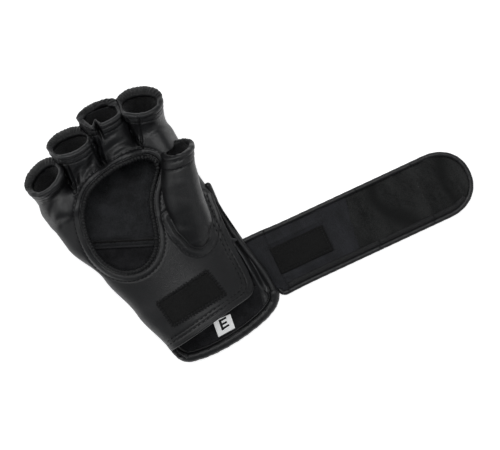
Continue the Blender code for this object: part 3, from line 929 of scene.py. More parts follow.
# the loop cloth carries painted crease shade: dark wavy bands laid into its colour
LOOP = cloth_material(
    "brushed_loop", (0.0042, 0.0045, 0.0044), (0.026, 0.0265, 0.026), 900, 0.92, 1.2, 0.1, 0.6, 75.0, (0.5, 0.95),
    0.28, True,
)
HOOK = cloth_material("hook_pile", (0.0008, 0.0008, 0.0008), (0.0065, 0.0065, 0.0062), 800, 0.8, 1.0, 0.0, 0.35)
TAPE = cloth_material("lining_tape", (0.018, 0.0185, 0.02), (0.035, 0.036, 0.039), 1200, 0.7, 0.5, 0.2, 0.2)
GLOSSY = leather_material("glossy_leather", (0.009, 0.009, 0.01), (0.015, 0.015, 0.016), 0.34, 0.5)
LABEL = cloth_material("woven_label", (0.86, 0.86, 0.85), (0.95, 0.95, 0.94), 1500, 0.8, 0.3, 0.1, 0.1)
# Painted light: the label glows faintly, so it reads brighter than the lamps alone make it.
label_painted_glow = LABEL.node_tree.nodes["Principled BSDF"].inputs
label_painted_glow["Emission Color"].default_value = (1, 1, 1, 1)
label_painted_glow["Emission Strength"].default_value = 0.28
INK, _, _ = new_material("label_ink", (0.01, 0.01, 0.01), 0.7, 0.3)


# ------------------------------------------------------------------ camera, light, floor
PICTURE_RIGHT = np.array((0.829, -0.559, 0.0))
PICTURE_UP = np.array((0.559, 0.829, 0.0))
PICTURE_CENTRE = np.array((71.9, -40.1, 20.0))
PICTURE_WIDTH = 425.0
CAMERA_HEIGHT = 2000.0


def make_stage():
    scene = bpy.context.scene
    scene.view_settings.view_transform = "Standard"
    scene.view_settings.look = "None"

    def posed(data, name, location, right, up):
        right, up = unit(np.array(right, float)), unit(np.array(up, float))
        back = np.cross(right, up)
        obj = bpy.data.objects.new(name, data)
        rows = [[right[k], up[k], back[k], location[k] * MM] for k in range(3)]
        obj.matrix_world = Matrix([*rows, [0, 0, 0, 1]])
        scene.collection.objects.link(obj)
        return obj

    lens = bpy.data.cameras.new("camera")
    lens.sensor_width = 36
    lens.lens = 36 * CAMERA_HEIGHT / PICTURE_WIDTH
    lens.clip_end = 20
    scene.camera = posed(lens, "camera", PICTURE_CENTRE + (0, 0, CAMERA_HEIGHT), PICTURE_RIGHT, PICTURE_UP)

    # name, place to the right of the middle, up the picture and above it, size in metres, power
    for name, right, up, high, size, power in (
        ("overhead", -250, 500, 1500, (1.5, 1.1), 13),
        ("left_fill", -1300, 0, 900, (0.6, 1.6), 4.2),
        ("right_fill", 1300, -300, 1000, (0.6, 1.6), 2.8),
    ):
        data = bpy.data.lights.new(name, "AREA")
        data.shape = "RECTANGLE"
        data.size, data.size_y = size
        data.energy = power
        away = right * PICTURE_RIGHT + up * PICTURE_UP + (0, 0, high)
        back = unit(away)
        level_way = unit(np.cross(PICTURE_UP, back))
        posed(data, name, PICTURE_CENTRE + away, level_way, np.cross(back, level_way))
    world = bpy.data.worlds.new("studio")
    world.use_nodes = True
    sky = world.node_tree.nodes["Background"].inputs
    sky["Color"].default_value = (0.9, 0.95, 1.0, 1)
    sky["Strength"].default_value = 0.17
    scene.world = world
    mesh = bpy.data.meshes.new("floor")
    mesh.from_pydata([(-6, -6, -0.0004), (6, -6, -0.0004), (6, 6, -0.0004), (-6, 6, -0.0004)], [], [(0, 1, 2, 3)])
    floor_mat, tree, shader = new_material("white_floor", (0.8, 0.8, 0.8), 0.9, 0.1)
    shader.inputs["Emission Color"].default_value = (1, 1, 1, 1)
    shader.inputs["Emission Strength"].default_value = 0.76
    mesh.materials.append(floor_mat)
    floor = bpy.data.objects.new("floor", mesh)
    scene.collection.objects.link(floor)


make_stage()

# ------------------------------------------------------------------ the leather pieces

# how far apart the points of the leather and of the linings lie
FINE = 1.1
COARSE = 1.5
SPLIT_Y = 66.0
THICK, LINING_THICK = 1.3, 0.8


def net(field, low, high, step, shape_field=None):
    verts, quads = surface_net(shape_field or field, low, high, step)
    return relax(field, verts, quads, 2)


def full_skin(p):
    return skin_field(p, True)


def apart(fields, finger, p):
    """Above 0 past the sides that this finger presses against its neighbours, wavy from palm to back."""
    names = list(FINGERS)
    k = names.index(finger)
    wave = 1.1 * np.sin((p[:, 2] + 0.6 * p[:, 1]) / 3.4)
    sides = []
    for j in (k - 1, k + 1):
        if 0 <= j < 4:
            sides.append((fields[finger][0] - fields[names[j]][0]) / 2 + 0.22 + (wave if j > k else -wave))
    return np.max(sides, axis=0) - 25 * (1 - smooth((p[:, 1] - 66.5) / 5))


def lone_finger(finger, relief):
    def field(p):
        return smax(skin_field(p, relief), apart(finger_fields(p), finger, p), 1.2)

    return field


def beside_thumb(p):
    """Above 0 where a point lies outside the thumb's sleeve, which ends at its mouth."""
    return np.maximum(thumb_field(p) + 0.8, -thumb_mouth_value(p) - 1.0)


hand = net(full_skin, (-78, -124, -4), (78, 72, 60), FINE, skin_field)
hand = clip(hand, lambda p: SPLIT_Y - p[:, 1])
palm = clip(clip(clip(hand, fold_value), lambda p: loop_distance(OPENING_LOOP, p[:, :2]) - 0.2), cuff_value)
palm = main_island(clip(palm, beside_thumb))
shell("palm_leather", palm, THICK, LEATHER)
back = main_island(clip(clip(hand, lambda p: -fold_value(p)), back_value))
shell("back_leather", back, THICK, LEATHER)

sleeve = net(sleeve_field, (0, -50, 4), (84, 70, 66), FINE)
sleeve = main_island(clip(clip(sleeve, thumb_mouth_value), lambda p: skin_field(p) + 4.0))
SIDES = (("front", 1), ("back", -1))
for part, way in SIDES:
    half = main_island(clip(sleeve, lambda p: way * thumb_local(p)[2]))
    shell(f"thumb_{part}_leather", half, THICK, LEATHER)

# lowest and highest corner of the space each finger is looked for in
FINGER_BOX = {
    "index": ((24, 64, -2), (82, 120, 64)),
    "middle": ((-10, 64, -2), (46, 128, 64)),
    "ring": ((-44, 64, -2), (14, 124, 64)),
    "little": ((-78, 64, -2), (-22, 114, 64)),
}
for finger, (low, high) in FINGER_BOX.items():
    tube = net(lone_finger(finger, True), low, high, FINE, lone_finger(finger, False))
    tube = clip(clip(tube, lambda p: p[:, 1] - SPLIT_Y), lambda p: mouth_value(finger, p))
    tube = main_island(clip(tube, beside_thumb) if finger == "index" else tube)
    for part, way in SIDES:
        half = main_island(clip(tube, lambda p: way * finger_local(finger, p)[2]))
        shell(f"{finger}_{part}_leather", half, THICK, LEATHER)


# ------------------------------------------------------------------ linings


def tape_y(x):
    return -11 - 0.6 * x


def floor_height(p):
    x, y = p[:, 0], p[:, 1]
    rise = smooth((y - tape_y(x)) / 5 + 0.4)
    cloth = 0.5 * value_noise(p * (1, 1, 0), 16.0, 11) + 0.25 * value_noise(p * (1, 1, 0), 6.0, 12)
    waves = 0.8 * np.sin((y + 0.6 * x) / 3.1 + value_noise(p * (1, 1, 0), 20, 13)) * bell(y - tape_y(x) + 15, 10)
    return 9.5 + 7.0 * rise - 4.5 * smooth((-72 - y) / 30) - 4.6 * bell(y - tape_y(x) - 4.5, 2.4) + cloth + waves


def cavity_field(p):
    body = smax(smax(body_field(p, BODY_WALL), p[:, 1] - (HAND_END - 3), 6.0), floor_height(p) - p[:, 2], 3.0)
    near = p[:, 1] > FINGERS_FROM
    if near.any():
        q = p[near]
        fingers = np.min([f[0] for f in finger_fields(q, *FINGER_WALL).values()], axis=0)
        body[near] = smin(body[near], fingers + 9 * smooth((60 - q[:, 1]) / 27), 5.0)
    return body


def finger_cavity(finger, p):
    return finger_field(finger, p, *FINGER_WALL)[0]


inside = net(cavity_field, (-74, -128, 0), (74, 72, 58), COARSE)
inside = clip(inside, lambda p: SPLIT_Y - p[:, 1])
low_side = clip(clip(inside, lambda p: -fold_value(p)), lambda p: back_value(p) - 2)
far_side = main_island(clip(low_side, lambda p: p[:, 1] - tape_y(p[:, 0])))
shell("knuckle_lining_cloth", far_side, LINING_THICK, LINING)
near_side = main_island(clip(low_side, lambda p: tape_y(p[:, 0]) - p[:, 1]))
shell("wrist_lining_cloth", near_side, LINING_THICK, DARK_LINING)
high_side = clip(clip(inside, fold_value), lambda p: loop_distance(OPENING_LOOP, p[:, :2]) - 1.2)
high_side = clip(clip(high_side, lambda p: cuff_value(p) - 1), lambda p: thumb_field(p, THUMB_WALL) - 0.3)
shell("palm_lining_cloth", main_island(high_side), 0.6, DARK_LINING)
for finger, (low, high) in FINGER_BOX.items():
    tube = net(lambda p: smin(cavity_field(p), finger_cavity(finger, p), 2.0), low, high, COARSE)
    lead = lambda p: finger_lead(finger_fields(p, *FINGER_WALL), finger) - 0.2
    tube = clip(clip(clip(tube, lambda p: p[:, 1] - SPLIT_Y), lambda p: mouth_value(finger, p) - 0.4), lead)
    shell(finger + "_lining_cloth", main_island(tube), LINING_THICK, PAINTED_SHADE_LINING)
sleeve_inside = net(lambda p: thumb_field(p, THUMB_WALL), (0, -50, 4), (84, 70, 66), COARSE)
sleeve_inside = clip(clip(sleeve_inside, lambda p: thumb_mouth_value(p) - 0.4), lambda p: skin_field(p) + 6.0)
shell("thumb_lining_cloth", main_island(sleeve_inside), LINING_THICK, PAINTED_SHADE_LINING)

# ------------------------------------------------------------------ rims of the finger and thumb mouths


def reach_of(field, centre, ways, low=1.5, high=34.0, step=0.35):
    """How far each ray from a centre goes before it leaves a solid."""
    reach = np.arange(low, high, step)
    value = field((centre + ways[:, None] * reach[None, :, None]).reshape(-1, 3)).reshape(len(ways), -1)
    return leaving(-value, reach)


def rim(name, centre, out, side, palm, outer_field, inner_field, inner_shift, mat):
    """The rolled or bound lip that joins a mouth's leather to its lining, with pleats along its thick back."""
    count = 132
    angle = np.linspace(0, 2 * PI, count, endpoint=False)
    ways = np.cos(angle)[:, None] * side + np.sin(angle)[:, None] * palm
    outer_at = centre + ways * reach_of(outer_field, centre, ways)[:, None]
    middle = centre + palm * inner_shift
    inner_at = middle + ways * reach_of(inner_field, middle, ways, 0.2)[:, None]
    if name.startswith("middle"):
        far = np.linalg.norm(outer_at - centre, axis=1)
        near = np.clip(reach_of(inner_field, centre, ways, 0.2), far - 7.5, far - 2.6)
        near = (np.roll(near, 1) + 2 * near + np.roll(near, -1)) / 4
        inner_at = centre + ways * np.clip(near, 0.4, None)[:, None]
    across = inner_at - outer_at
    width = np.linalg.norm(across, axis=1, keepdims=True)
    inward = across / width
    pleats = 0.3 * np.sin(angle * 37 + 2 * np.sin(angle * 5)) * smooth((-np.sin(angle) + 0.25) / 0.5)
    pleats = (pleats + 0.12 * np.sin(angle * 9 + 1) + 0.1 * np.sin(angle * 14))[:, None]
    high = np.clip(width * 0.42, 1.0, 2.0) * (1 + 0.5 * pleats)
    # inwards in millimetres, share of the width, height in millimetres, share of the roll's height
    profile = (
        (-0.2, 0, -2.4, 0), (-0.75, 0, -1.5, 0), (-0.85, 0, 0, 0.25), (-0.45, 0.06, 0, 0.75),
        (0.1, 0.2, 0, 1.0), (0, 0.5, 0, 1.08), (-0.1, 0.8, 0, 1.0), (0.45, 0.94, 0, 0.7),
        (0.8, 1, 0, 0.1), (0.75, 1, -1.6, 0), (-0.1, 1, -3.0, 0), (0, 0.5, -3.0, 0),
    )
    rings = []
    for flat, share, low, rise in profile:
        rings.append(outer_at + inward * (flat * (1 + pleats * 0.6)) + across * share + out * (low + rise * high))
    verts = np.stack(rings, 1).reshape(-1, 3)
    n = len(profile)
    obj = put(name, verts, grid_faces(count, n, True, True), mat)
    obj.data.materials.append(RIBBED)
    dark = np.repeat(np.sin(angle + 0.02) < -0.12, n).astype(np.int32)
    dark[np.tile(np.arange(n) >= 7, count)] = 1
    obj.data.polygons.foreach_set("material_index", dark)
    return obj


for finger in FINGERS:
    at, side, palm_way, out = (v[0] for v in finger_curve(finger, np.array([1.0])))
    centre = at - (side * 5.0 + palm_way * 3.5 if finger == "middle" else 0)
    shift = 2.2 if finger == "middle" else FINGER_WALL[1]
    hollow = lambda p: finger_cavity(finger, p)
    rim(finger + "_hem_roll", centre, out, side, palm_way, lone_finger(finger, True), hollow, shift, ROLLED)
thumb_side = unit(np.cross(THUMB_OUT, unit(THUMB_UP - (THUMB_UP @ THUMB_OUT) * THUMB_OUT)) * -1)
thumb_palm = np.cross(thumb_side, THUMB_OUT)
thumb_palm = thumb_palm if thumb_palm[2] > 0 else -thumb_palm
hollow = lambda p: thumb_field(p, THUMB_WALL)
rim("thumb_hem_roll", THUMB_MOUTH, THUMB_OUT, thumb_side, thumb_palm, sleeve_field, hollow, 0.0, ROLLED)


# ------------------------------------------------------------------ bindings, seams and stitches on the hand


def on_skin(xy, lift=0.0, field=None):
    """Points on the leather below places seen from above, with its normals."""
    field = field or full_skin
    p = drop(xy, field)
    n = gradient(field, p, 0.8)
    return p + n * lift, n


def landed(p, n):
    """Only the points that met the leather, with their normals."""
    keep = p[:, 2] > 2
    return p[keep], n[keep]


def offset_loop(loop, away):
    t = unit(np.roll(loop, -1, 0) - np.roll(loop, 1, 0))
    n = np.stack((t[:, 1], -t[:, 0]), 1)
    moved = loop + n * away
    if loop_distance(loop, moved).mean() * away < 0:
        moved = loop - n * away
    return moved[np.abs(loop_distance(loop, moved)) > abs(away) - 0.25]


loop = resample(OPENING_LOOP, 0.7, True)
p, n = on_skin(loop, -0.35, skin_field)
arc = np.arange(len(p)) * 0.7
pucker = 0.7 + 1.0 * bell(np.linalg.norm(loop - (24, 57), axis=1), 14)
pucker += 0.6 * bell(np.linalg.norm(loop - (2, -8), axis=1), 22)
ripple = 0.24 * pucker * np.sin(arc * 2.4 + 1.2 * np.sin(arc * 0.31)) + 0.05 * np.sin(arc * 0.73)
cord("opening_binding_roll", p, n, 2.2, 1.75, RIBBED, sides=14, ripple=ripple)
ring = resample(offset_loop(loop, RING_STITCH), 1.0, True)
p, n = on_skin(ring)
stitch("hand", p, n, True, 2.4, 1.4, 0.5, 0.0)

edge = outline(cuff_value, (-2, -30), np.radians(np.linspace(-128, 29, 240)), 8, 110)
edge = resample(edge[edge[:, 0] < 61], 1.2)
p, n = landed(*on_skin(edge, -0.65, skin_field))
cord("palm_hem_roll", p, n, 1.25, 1.15, ROLLED, False, 10, taper=False)
for inset in CUFF_STITCHES:
    line = outline(lambda xy: cuff_value(xy) - inset, (-2, -30), np.radians(np.linspace(-126, 28, 240)), 8, 110)
    p, n = landed(*on_skin(resample(line[line[:, 0] < 61], 1.0)))
    stitch("hand", p, n, False, 2.8, 1.8, 0.5, 0.0)

p, n = resample(on_skin(THUMB_SEAM, 0.45)[0], 1.4, False, on_skin(THUMB_SEAM)[1])
cord("thumb_welt_cord", p, n, 0.95, 0.9, ROLLED, False, 10)
t2 = unit(np.gradient(THUMB_SEAM, axis=0))
outside = np.stack((t2[:, 1], -t2[:, 0]), 1)
outside *= np.sign(((THUMB_SEAM - (34, 0)) * outside).sum(1).mean())
line = THUMB_SEAM + outside * WELT_STITCH
line = line[(fold_value(drop(line)) > 2) & (cuff_value(drop(line)) > 9)]
p, n = on_skin(resample(line, 1.0))
stitch("hand", p, n, False, 2.3, 1.3, 0.4, -0.05)

for k, (finger, line) in enumerate(zip(V_SEAM_FINGERS, V_SEAMS)):
    pts = resample(curve_through(line, False, 6), 1.2)
    p, n = on_skin(pts, -0.1, lone_finger(finger, True))
    ok = n[:, 2] > 0.15
    p, n = p[ok], n[ok]
    if len(p) > 4:
        steps = np.arange(len(p))
        cord(f"{finger}_gusset_seam_{k}", p, n, 0.75 + 0.2 * np.sin(steps * 2.2), 0.7, RIBBED, False, 8)


def web(name, centre, radii, turn):
    """A small dark piece of leather that closes the notch between two fingers."""
    nu, nv = 24, 13
    u, v = grid_of(np.linspace(0, 2 * PI, nu, endpoint=False), np.linspace(-1.45, 1.45, nv))
    x, y = np.cos(u) * np.cos(v) * radii[0], np.sin(u) * np.cos(v) * radii[1]
    c, s = math.cos(turn), math.sin(turn)
    verts = np.array(centre) + np.column_stack((x * c - y * s, x * s + y * c, np.sin(v) * radii[2]))
    faces = [face[::-1] for face in grid_faces(nu, nv, True)]
    faces += [tuple(i * nv for i in range(nu))[::-1], tuple(i * nv + nv - 1 for i in range(nu))]
    put(name, verts, faces, RIBBED)


web("index_middle_web", (33.6, 67.5, 26), (2.2, 8.0, 17), 0.1)
web("middle_ring_web", (-0.4, 71.5, 25), (2.4, 7.0, 16), 0.15)
web("ring_little_web", (-34.2, 68.5, 24), (2.6, 8.5, 16), 0.2)

# ------------------------------------------------------------------ the grip patch on the palm


def between(corners, u, v):
    """The plane point at shares u and v of the way between four corners."""
    a, b, c, d = (np.array(corner, float) for corner in corners)
    return (a * (1 - u) + b * u) * (1 - v) + (d * (1 - u) + c * u) * v


def patch_grid(corners, nu, nv):
    """Plane points on a grid between four corners, with their shares of the way along both sides."""
    u, v = grid_of(np.linspace(0, 1, nu), np.linspace(0, 1, nv))
    return between(corners, u[:, None], v[:, None]), u, v


def slab(name, top, bottom, nu, nv, mat):
    """A closed sheet from a grid of top points and one of bottom points."""
    n = nu * nv
    under = [tuple(i + n for i in face) for face in grid_faces(nu, nv)]
    faces = [face[::-1] for face in grid_faces(nu, nv)] + under
    rim_path = [i * nv for i in range(nu)] + [(nu - 1) * nv + j for j in range(1, nv)]
    rim_path += [i * nv + nv - 1 for i in range(nu - 2, -1, -1)] + list(range(nv - 2, 0, -1))
    for k, a in enumerate(rim_path):
        b = rim_path[(k + 1) % len(rim_path)]
        faces.append((b, a, a + n, b + n))
    obj = put(name, np.vstack((top, bottom)), faces, mat)
    obj.data.polygons.foreach_set("use_smooth", [True] * (len(faces) - len(rim_path)) + [False] * len(rim_path))
    return obj


PATCH = ((-30.6, -50.2), (20.8, -51), (23.2, -77.9), (-30.4, -75.3))
xy, u, v = patch_grid(PATCH, 70, 40)
skin_at, n = on_skin(xy, 0, skin_field)
rough = 0.28 * value_noise(skin_at, 1.3, 21) + 0.12 * value_noise(skin_at, 0.8, 22)
border = np.minimum.reduce((u * 53, (1 - u) * 53, v * 26, (1 - v) * 26))
raised = 1.0 * smooth(border / 0.8 + 0.3) - 0.45 * bell(border - 2.0, 0.7) + rough * smooth(border / 1.5)
slab("palm_grip_patch", skin_at + n * raised[:, None], skin_at - n * 0.3, 70, 40, HOOK)
corner_line = []
for a, b in zip(PATCH, PATCH[1:] + PATCH[:1]):
    a, b = np.array(a), np.array(b)
    length = np.linalg.norm(b - a)
    count = 2 * int(length / 2.7)
    way, across = (b - a) / length, np.array((-(b - a)[1], (b - a)[0])) / length
    corner_line += [a + way * (i * length / count) + across * (0.8 if i % 2 else -2.2) for i in range(count)]
zig, zn = on_skin(np.array(corner_line), 0.7, skin_field)
zig, zn = resample(zig, 0.8, True, zn)
cord("palm_patch_zigzag", zig, zn, 0.55, 0.5, THREAD, True, 6)

# ------------------------------------------------------------------ the slit, the piping and the cuff's binding

PIPING = (
    (61.2, 10, 18), (60.4, 5, 14.5), (59, -4, 11), (57.4, -12, 9.5), (56.6, -30, 8),
    (56.8, -46, 7.4), (57.9, -60, 6.9), (58.9, -78, 6.5), (58.3, -92, 6.5), (56.2, -101, 6.3),
)
line = resample(curve_through(PIPING, False, 8), 1.2)
steps = np.arange(len(line))
up = np.tile((0.25, 0, 1.0), (len(line), 1))
wide, high = 2.85 + 0.2 * np.sin(steps * 0.35), 2.75 + 0.15 * np.sin(steps * 0.27 + 1)
cord("strap_piping_roll", line, up, wide, high, ROLLED, False, 16)

nu, nv = 34, 100
us, ys = grid_of(np.linspace(0, 1, nu), np.linspace(-110, 8, nv))
start = np.minimum(slit_x(ys), 60.5) - 6
end = np.interp(ys, (-110, -100, -92, -60, -46, -12, 4, 8), (50, 55, 58.5, 58, 56.5, 57, 59, 59.5))
xs = start + (end - start) * us
near_top = drop(np.column_stack((start + 1, ys)))[:, 2]
deep = smooth((-72 - ys) / 22)
zs = ((near_top - 4.5) * (1 - us) + 7.5 * us) * (1 - deep) + (5.6 + 1.5 * us) * deep
wave = 1.8 * np.sin(us * PI * 3.9 + 0.9 + 0.8 * np.sin(ys / 23)) * smooth(us * 4) * smooth((1 - us) * 4)
wave *= smooth((-8 - ys) / 25) * (1 - 0.75 * smooth((-84 - ys) / 14))
wave += 0.4 * value_noise(np.column_stack((xs * 2, ys * 0.4, 0 * xs)), 6, 31)
top = np.column_stack((xs, ys, zs + wave))
slab("slit_gusset_folds", top, top - (0, 0, 1.1), nu, nv, GLOSSY)

WRIST_RIM = (
    (-41.5, -90.5, 16), (-41, -94.5, 12.5), (-38.6, -100.5, 8), (-33.6, -105.4, 5.4), (-15.2, -110.6, 4.4),
    (10.2, -112.8, 4.3), (35.4, -111.2, 4.4), (49.4, -107.2, 5), (55.6, -102, 6), (57.5, -96, 7.5),
)
line = resample(curve_through(WRIST_RIM, False, 10), 1.3)
way = unit(np.gradient(line, axis=0))
outwards = unit(np.column_stack((way[:, 1], -way[:, 0], 0 * way[:, 0])))
up = unit(np.cross(way, outwards) * np.sign(np.cross(way, outwards)[:, 2:3]) + outwards * 0.25)
steps = np.arange(len(line))
wide, high = 4.3 - 1.8 * bell(steps, 8), 3.7 - 1.2 * bell(steps, 8)
ripple = 0.03 * np.sin(steps * 0.8) + 0.02 * np.sin(steps * 1.7)
cord("wrist_binding_roll", line, up, wide, high, LEATHER, False, 18, ripple=ripple)
inner_line = line - outwards * 4.6 + (0, 0, 1.7)
cord("wrist_binding_welt", inner_line, up, 0.9, 0.9, ROLLED, False, 8)
stitch("hand", line - outwards * 2.6 + up * 3.25, up, False, 3.0, 1.8, 0.4, -0.1)

tape = np.array([(x, tape_y(x)) for x in np.linspace(-58, 56, 90)])
tape_at = level(tape, floor_height(level(tape)) + 0.6)
# Painted shadow: a dark strip of hook-pile cloth laid along the lining's step above the tape stands in for the
# shade in the valley at that step.
fold = tape + (0, 4.6)
heights = np.arange(4, 24, 0.25)
tried = np.column_stack((np.repeat(fold, len(heights), 0), np.tile(heights, len(fold))))
fold_z = heights[np.argmax(cavity_field(tried).reshape(len(fold), -1) < 0, 1)]
fold_z = np.convolve(np.pad(fold_z, 3, "edge"), np.ones(7) / 7, "valid")
painted_shadow_wide = 1.4 + 0.8 * smooth((fold[:, 0] + 30) / 60)
cord("lining_step_fold", level(fold, fold_z + 1.4), upwards(len(fold)), painted_shadow_wide, 0.8, HOOK, False, 12)
cord("lining_tape", tape_at, upwards(len(tape)), 1.5, 0.9, TAPE, False, 10)

# the size label, a sloping tag with a slight bow
LABEL_CORNERS = np.array(((-0.3, -90.5), (15.5, -93.6), (12.0, -106.0), (-4.1, -104.6)))


def label_height(u, v):
    return 13 - 5.5 * v + 1.2 * np.sin(u * PI) * (1 - v) + 0.4 * np.sin(v * 5)


xy, u, v = patch_grid(LABEL_CORNERS, 14, 16)
top = level(xy, label_height(u, v))
slab("size_label_tag", top, top - (0, 0, 0.45), 14, 16, LABEL)
strokes = (
    ((0.36, 0.10), (0.36, 0.72)), ((0.36, 0.15), (0.72, 0.10)),
    ((0.36, 0.41), (0.68, 0.38)), ((0.36, 0.67), (0.74, 0.62)),
)
mark_verts, mark_faces = [], []


def on_label(u, v, up):
    return (*between(LABEL_CORNERS, u, v), label_height(u, v) + up)


for (u0, v0), (u1, v1) in strokes:
    du, dv = u1 - u0, v1 - v0
    across = np.array((-dv, du)) / math.hypot(du, dv) * 0.065
    first = len(mark_verts)
    for share in np.linspace(-0.05, 1.05, 7):
        for sign in (-1, 1):
            place = (u0 + du * share + across[0] * sign, v0 + dv * share + across[1] * sign)
            mark_verts += [on_label(*place, 0.22), on_label(*place, -0.25)]
    for i in range(6):
        k = first + 4 * i
        mark_faces += [(k, k + 4, k + 6, k + 2), (k + 1, k + 3, k + 7, k + 5)]
        mark_faces += [(k, k + 1, k + 5, k + 4), (k + 2, k + 6, k + 7, k + 3)]
    mark_faces += [(first, first + 2, first + 3, first + 1), (first + 24, first + 25, first + 27, first + 26)]
put("size_letter", mark_verts, mark_faces, INK, smooth_faces=False)

# ------------------------------------------------------------------ the strap, in lengths along it and across it

STRAP_ROOT = np.array((66.0, -77.5, 0.0))
STRAP_ALONG = np.array((0.987688, -0.156434, 0.0))
STRAP_ACROSS = np.array((0.156434, 0.987688, 0.0))
STRAP_LONG, STRAP_HALF, STRAP_END = 190.5, 29.0, 32.0


def strap_half(along):
    s = np.clip((along - (STRAP_LONG - STRAP_END)) / STRAP_END, 0, 1)
    return STRAP_HALF * (1 - s**2.15) ** (1 / 2.15) + 0.8 * bell(along, 16)


def strap_corner(along):
    """How much the strap's lower edge draws in where it leaves the cuff."""
    share = np.clip((along + 2.5) / 7, 0, 1)
    return 7 * (1 - np.sqrt(1 - (1 - share) ** 2))


def strap_point(along, across, z):
    along, across, z = np.broadcast_arrays(*(np.asarray(v, float) for v in (along, across, z)))
    flat = STRAP_ROOT + STRAP_ALONG * along[..., None] + STRAP_ACROSS * across[..., None]
    return flat + np.array((0, 0, 1.0)) * z[..., None]


def strap_slab(name, start, end, inset, high, low, mat, relief=None, step=1.6, skew=0.0, skew_end=0.0):
    """Part of the strap between two lengths, from one edge to the other, less an inset."""
    last = min(end, STRAP_LONG - inset - 0.05)
    nu, nv = max(3, int((last - start) / step)), max(9, int(2 * STRAP_HALF / step))
    a, b = grid_of(np.linspace(0, 1, nu), np.linspace(-1, 1, nv))
    if last > STRAP_LONG - STRAP_END:
        a = np.where(a < 1, 1 - (1 - a) ** 1.5, 1)
    along = (start + skew * b) * (1 - a) + (last + skew_end * b) * a
    stretch = STRAP_LONG / (STRAP_LONG - inset) if last < end or end >= STRAP_LONG else 1
    half = strap_half(np.clip(along * stretch, 0, STRAP_LONG)) - inset
    across = b * np.maximum(half - np.where(b < 0, strap_corner(along), 0), 0.05)
    lift = relief(along, across) if relief else 0.0
    return slab(name, strap_point(along, across, high + lift), strap_point(along, across, low), nu, nv, mat)


# place along the strap, lean, depth, width of the folds in its loop cloth
CLOTH_FOLDS = (
    (148, 0.9, 2.1, 3.6), (136, 0.8, 1.7, 3.0), (120, 1.0, 1.5, 3.4),
    (163, 0.7, 1.4, 4.0), (103, -0.5, 1.0, 3.4), (88, 0.3, 0.7, 3.0),
)


def cloth_folds(along, across):
    q = strap_point(along, across, 0)
    soft = 0.7 * value_noise(q, 14, 41) + 0.3 * value_noise(q, 5, 42)
    lines = 0
    for at, lean, amount, width in CLOTH_FOLDS:
        d = along - at + lean * (across - 8) + 2.5 * np.sin(across / 9)
        lines = lines + amount * bell(d, width) * smooth((across + 18) / 20)
    return np.maximum(soft - lines, -1.6)


def near_patch(along, across):
    q = strap_point(along, across, 0)
    soft = 0.5 * value_noise(q, 11, 43) + 0.18 * value_noise(q, 4, 44)
    edge_d = np.maximum(np.abs(along - 30) - 26, np.abs(across) - 12)
    return soft + 0.5 * bell(edge_d - 3.5, 1.6) - 0.3 * bell(edge_d - 0.5, 1.2)


ROOT_START, ROOT_SKEW, ROOT_END = -8.0, -5.5, 7.0
CUT_2, CUT_3, CLOTHS_MEET = 94.0, 145.0, 80
# the lengths the strap is cut into
CUTS = ((0, ROOT_START, ROOT_END), (1, ROOT_END, CUT_2), (2, CUT_2, CUT_3), (3, CUT_3, STRAP_LONG))
for k, start, end in CUTS:
    strap_slab(f"strap_cover_{k}", start, end, 0.0, 1.0, 0.2, LEATHER, skew=0 if k else ROOT_SKEW)
CLOTH_INSET, CLOTH_TOP = 3.2, 3.0
# name, start, end, underside, cloth, relief, slant of the start and of the end
for name, start, end, low, mat, relief, skew, skew_end in (
    ("0", ROOT_START, ROOT_END, 1.9, SMOOTH_CLOTH, near_patch, ROOT_SKEW, 0),
    ("near", ROOT_END, CLOTHS_MEET, 1.9, SMOOTH_CLOTH, near_patch, 0, 4.0),
    ("1", CLOTHS_MEET - 1, CUT_2, 1.0, LOOP, cloth_folds, 4.0, 0),
    ("2", CUT_2, CUT_3, 1.0, LOOP, cloth_folds, 0, 0),
    ("3", CUT_3, STRAP_LONG, 1.0, LOOP, cloth_folds, 0, 0),
):
    strap_slab("strap_fabric_" + name, start, end, CLOTH_INSET, CLOTH_TOP, low, mat, relief, 1.5, skew, skew_end)


def strap_edge(inset, step=1.2):
    """The strap's outline from its root round the end and back, less an inset."""
    end = STRAP_LONG - STRAP_END + STRAP_END * np.sin(np.linspace(0.02, 1, 60) * PI / 2)
    up, down = (np.linspace(ROOT_START + way * ROOT_SKEW, STRAP_LONG - STRAP_END, 140) for way in (1, -1))
    up, down = np.concatenate((up, end)), np.concatenate((down, end))
    lower = np.column_stack((down, strap_corner(down) - strap_half(down)))
    pts = np.vstack((np.column_stack((up, strap_half(up))), lower[::-1][1:]))
    pts = resample(pts, step)
    way = unit(np.gradient(pts, axis=0))
    inwards = np.column_stack((way[:, 1], -way[:, 0]))
    return pts + inwards * inset, inwards


def strap_parts(points):
    """Splits a line on the strap into runs by the strap pieces it lies on."""
    part = np.digitize(points[:, 0], (ROOT_END, CUT_2, CUT_3))
    runs, begin = [], 0
    for k in range(1, len(part) + 1):
        if k == len(part) or part[k] != part[begin]:
            runs.append((part[begin], slice(begin, min(k + 1, len(part)))))
            begin = k
    return runs


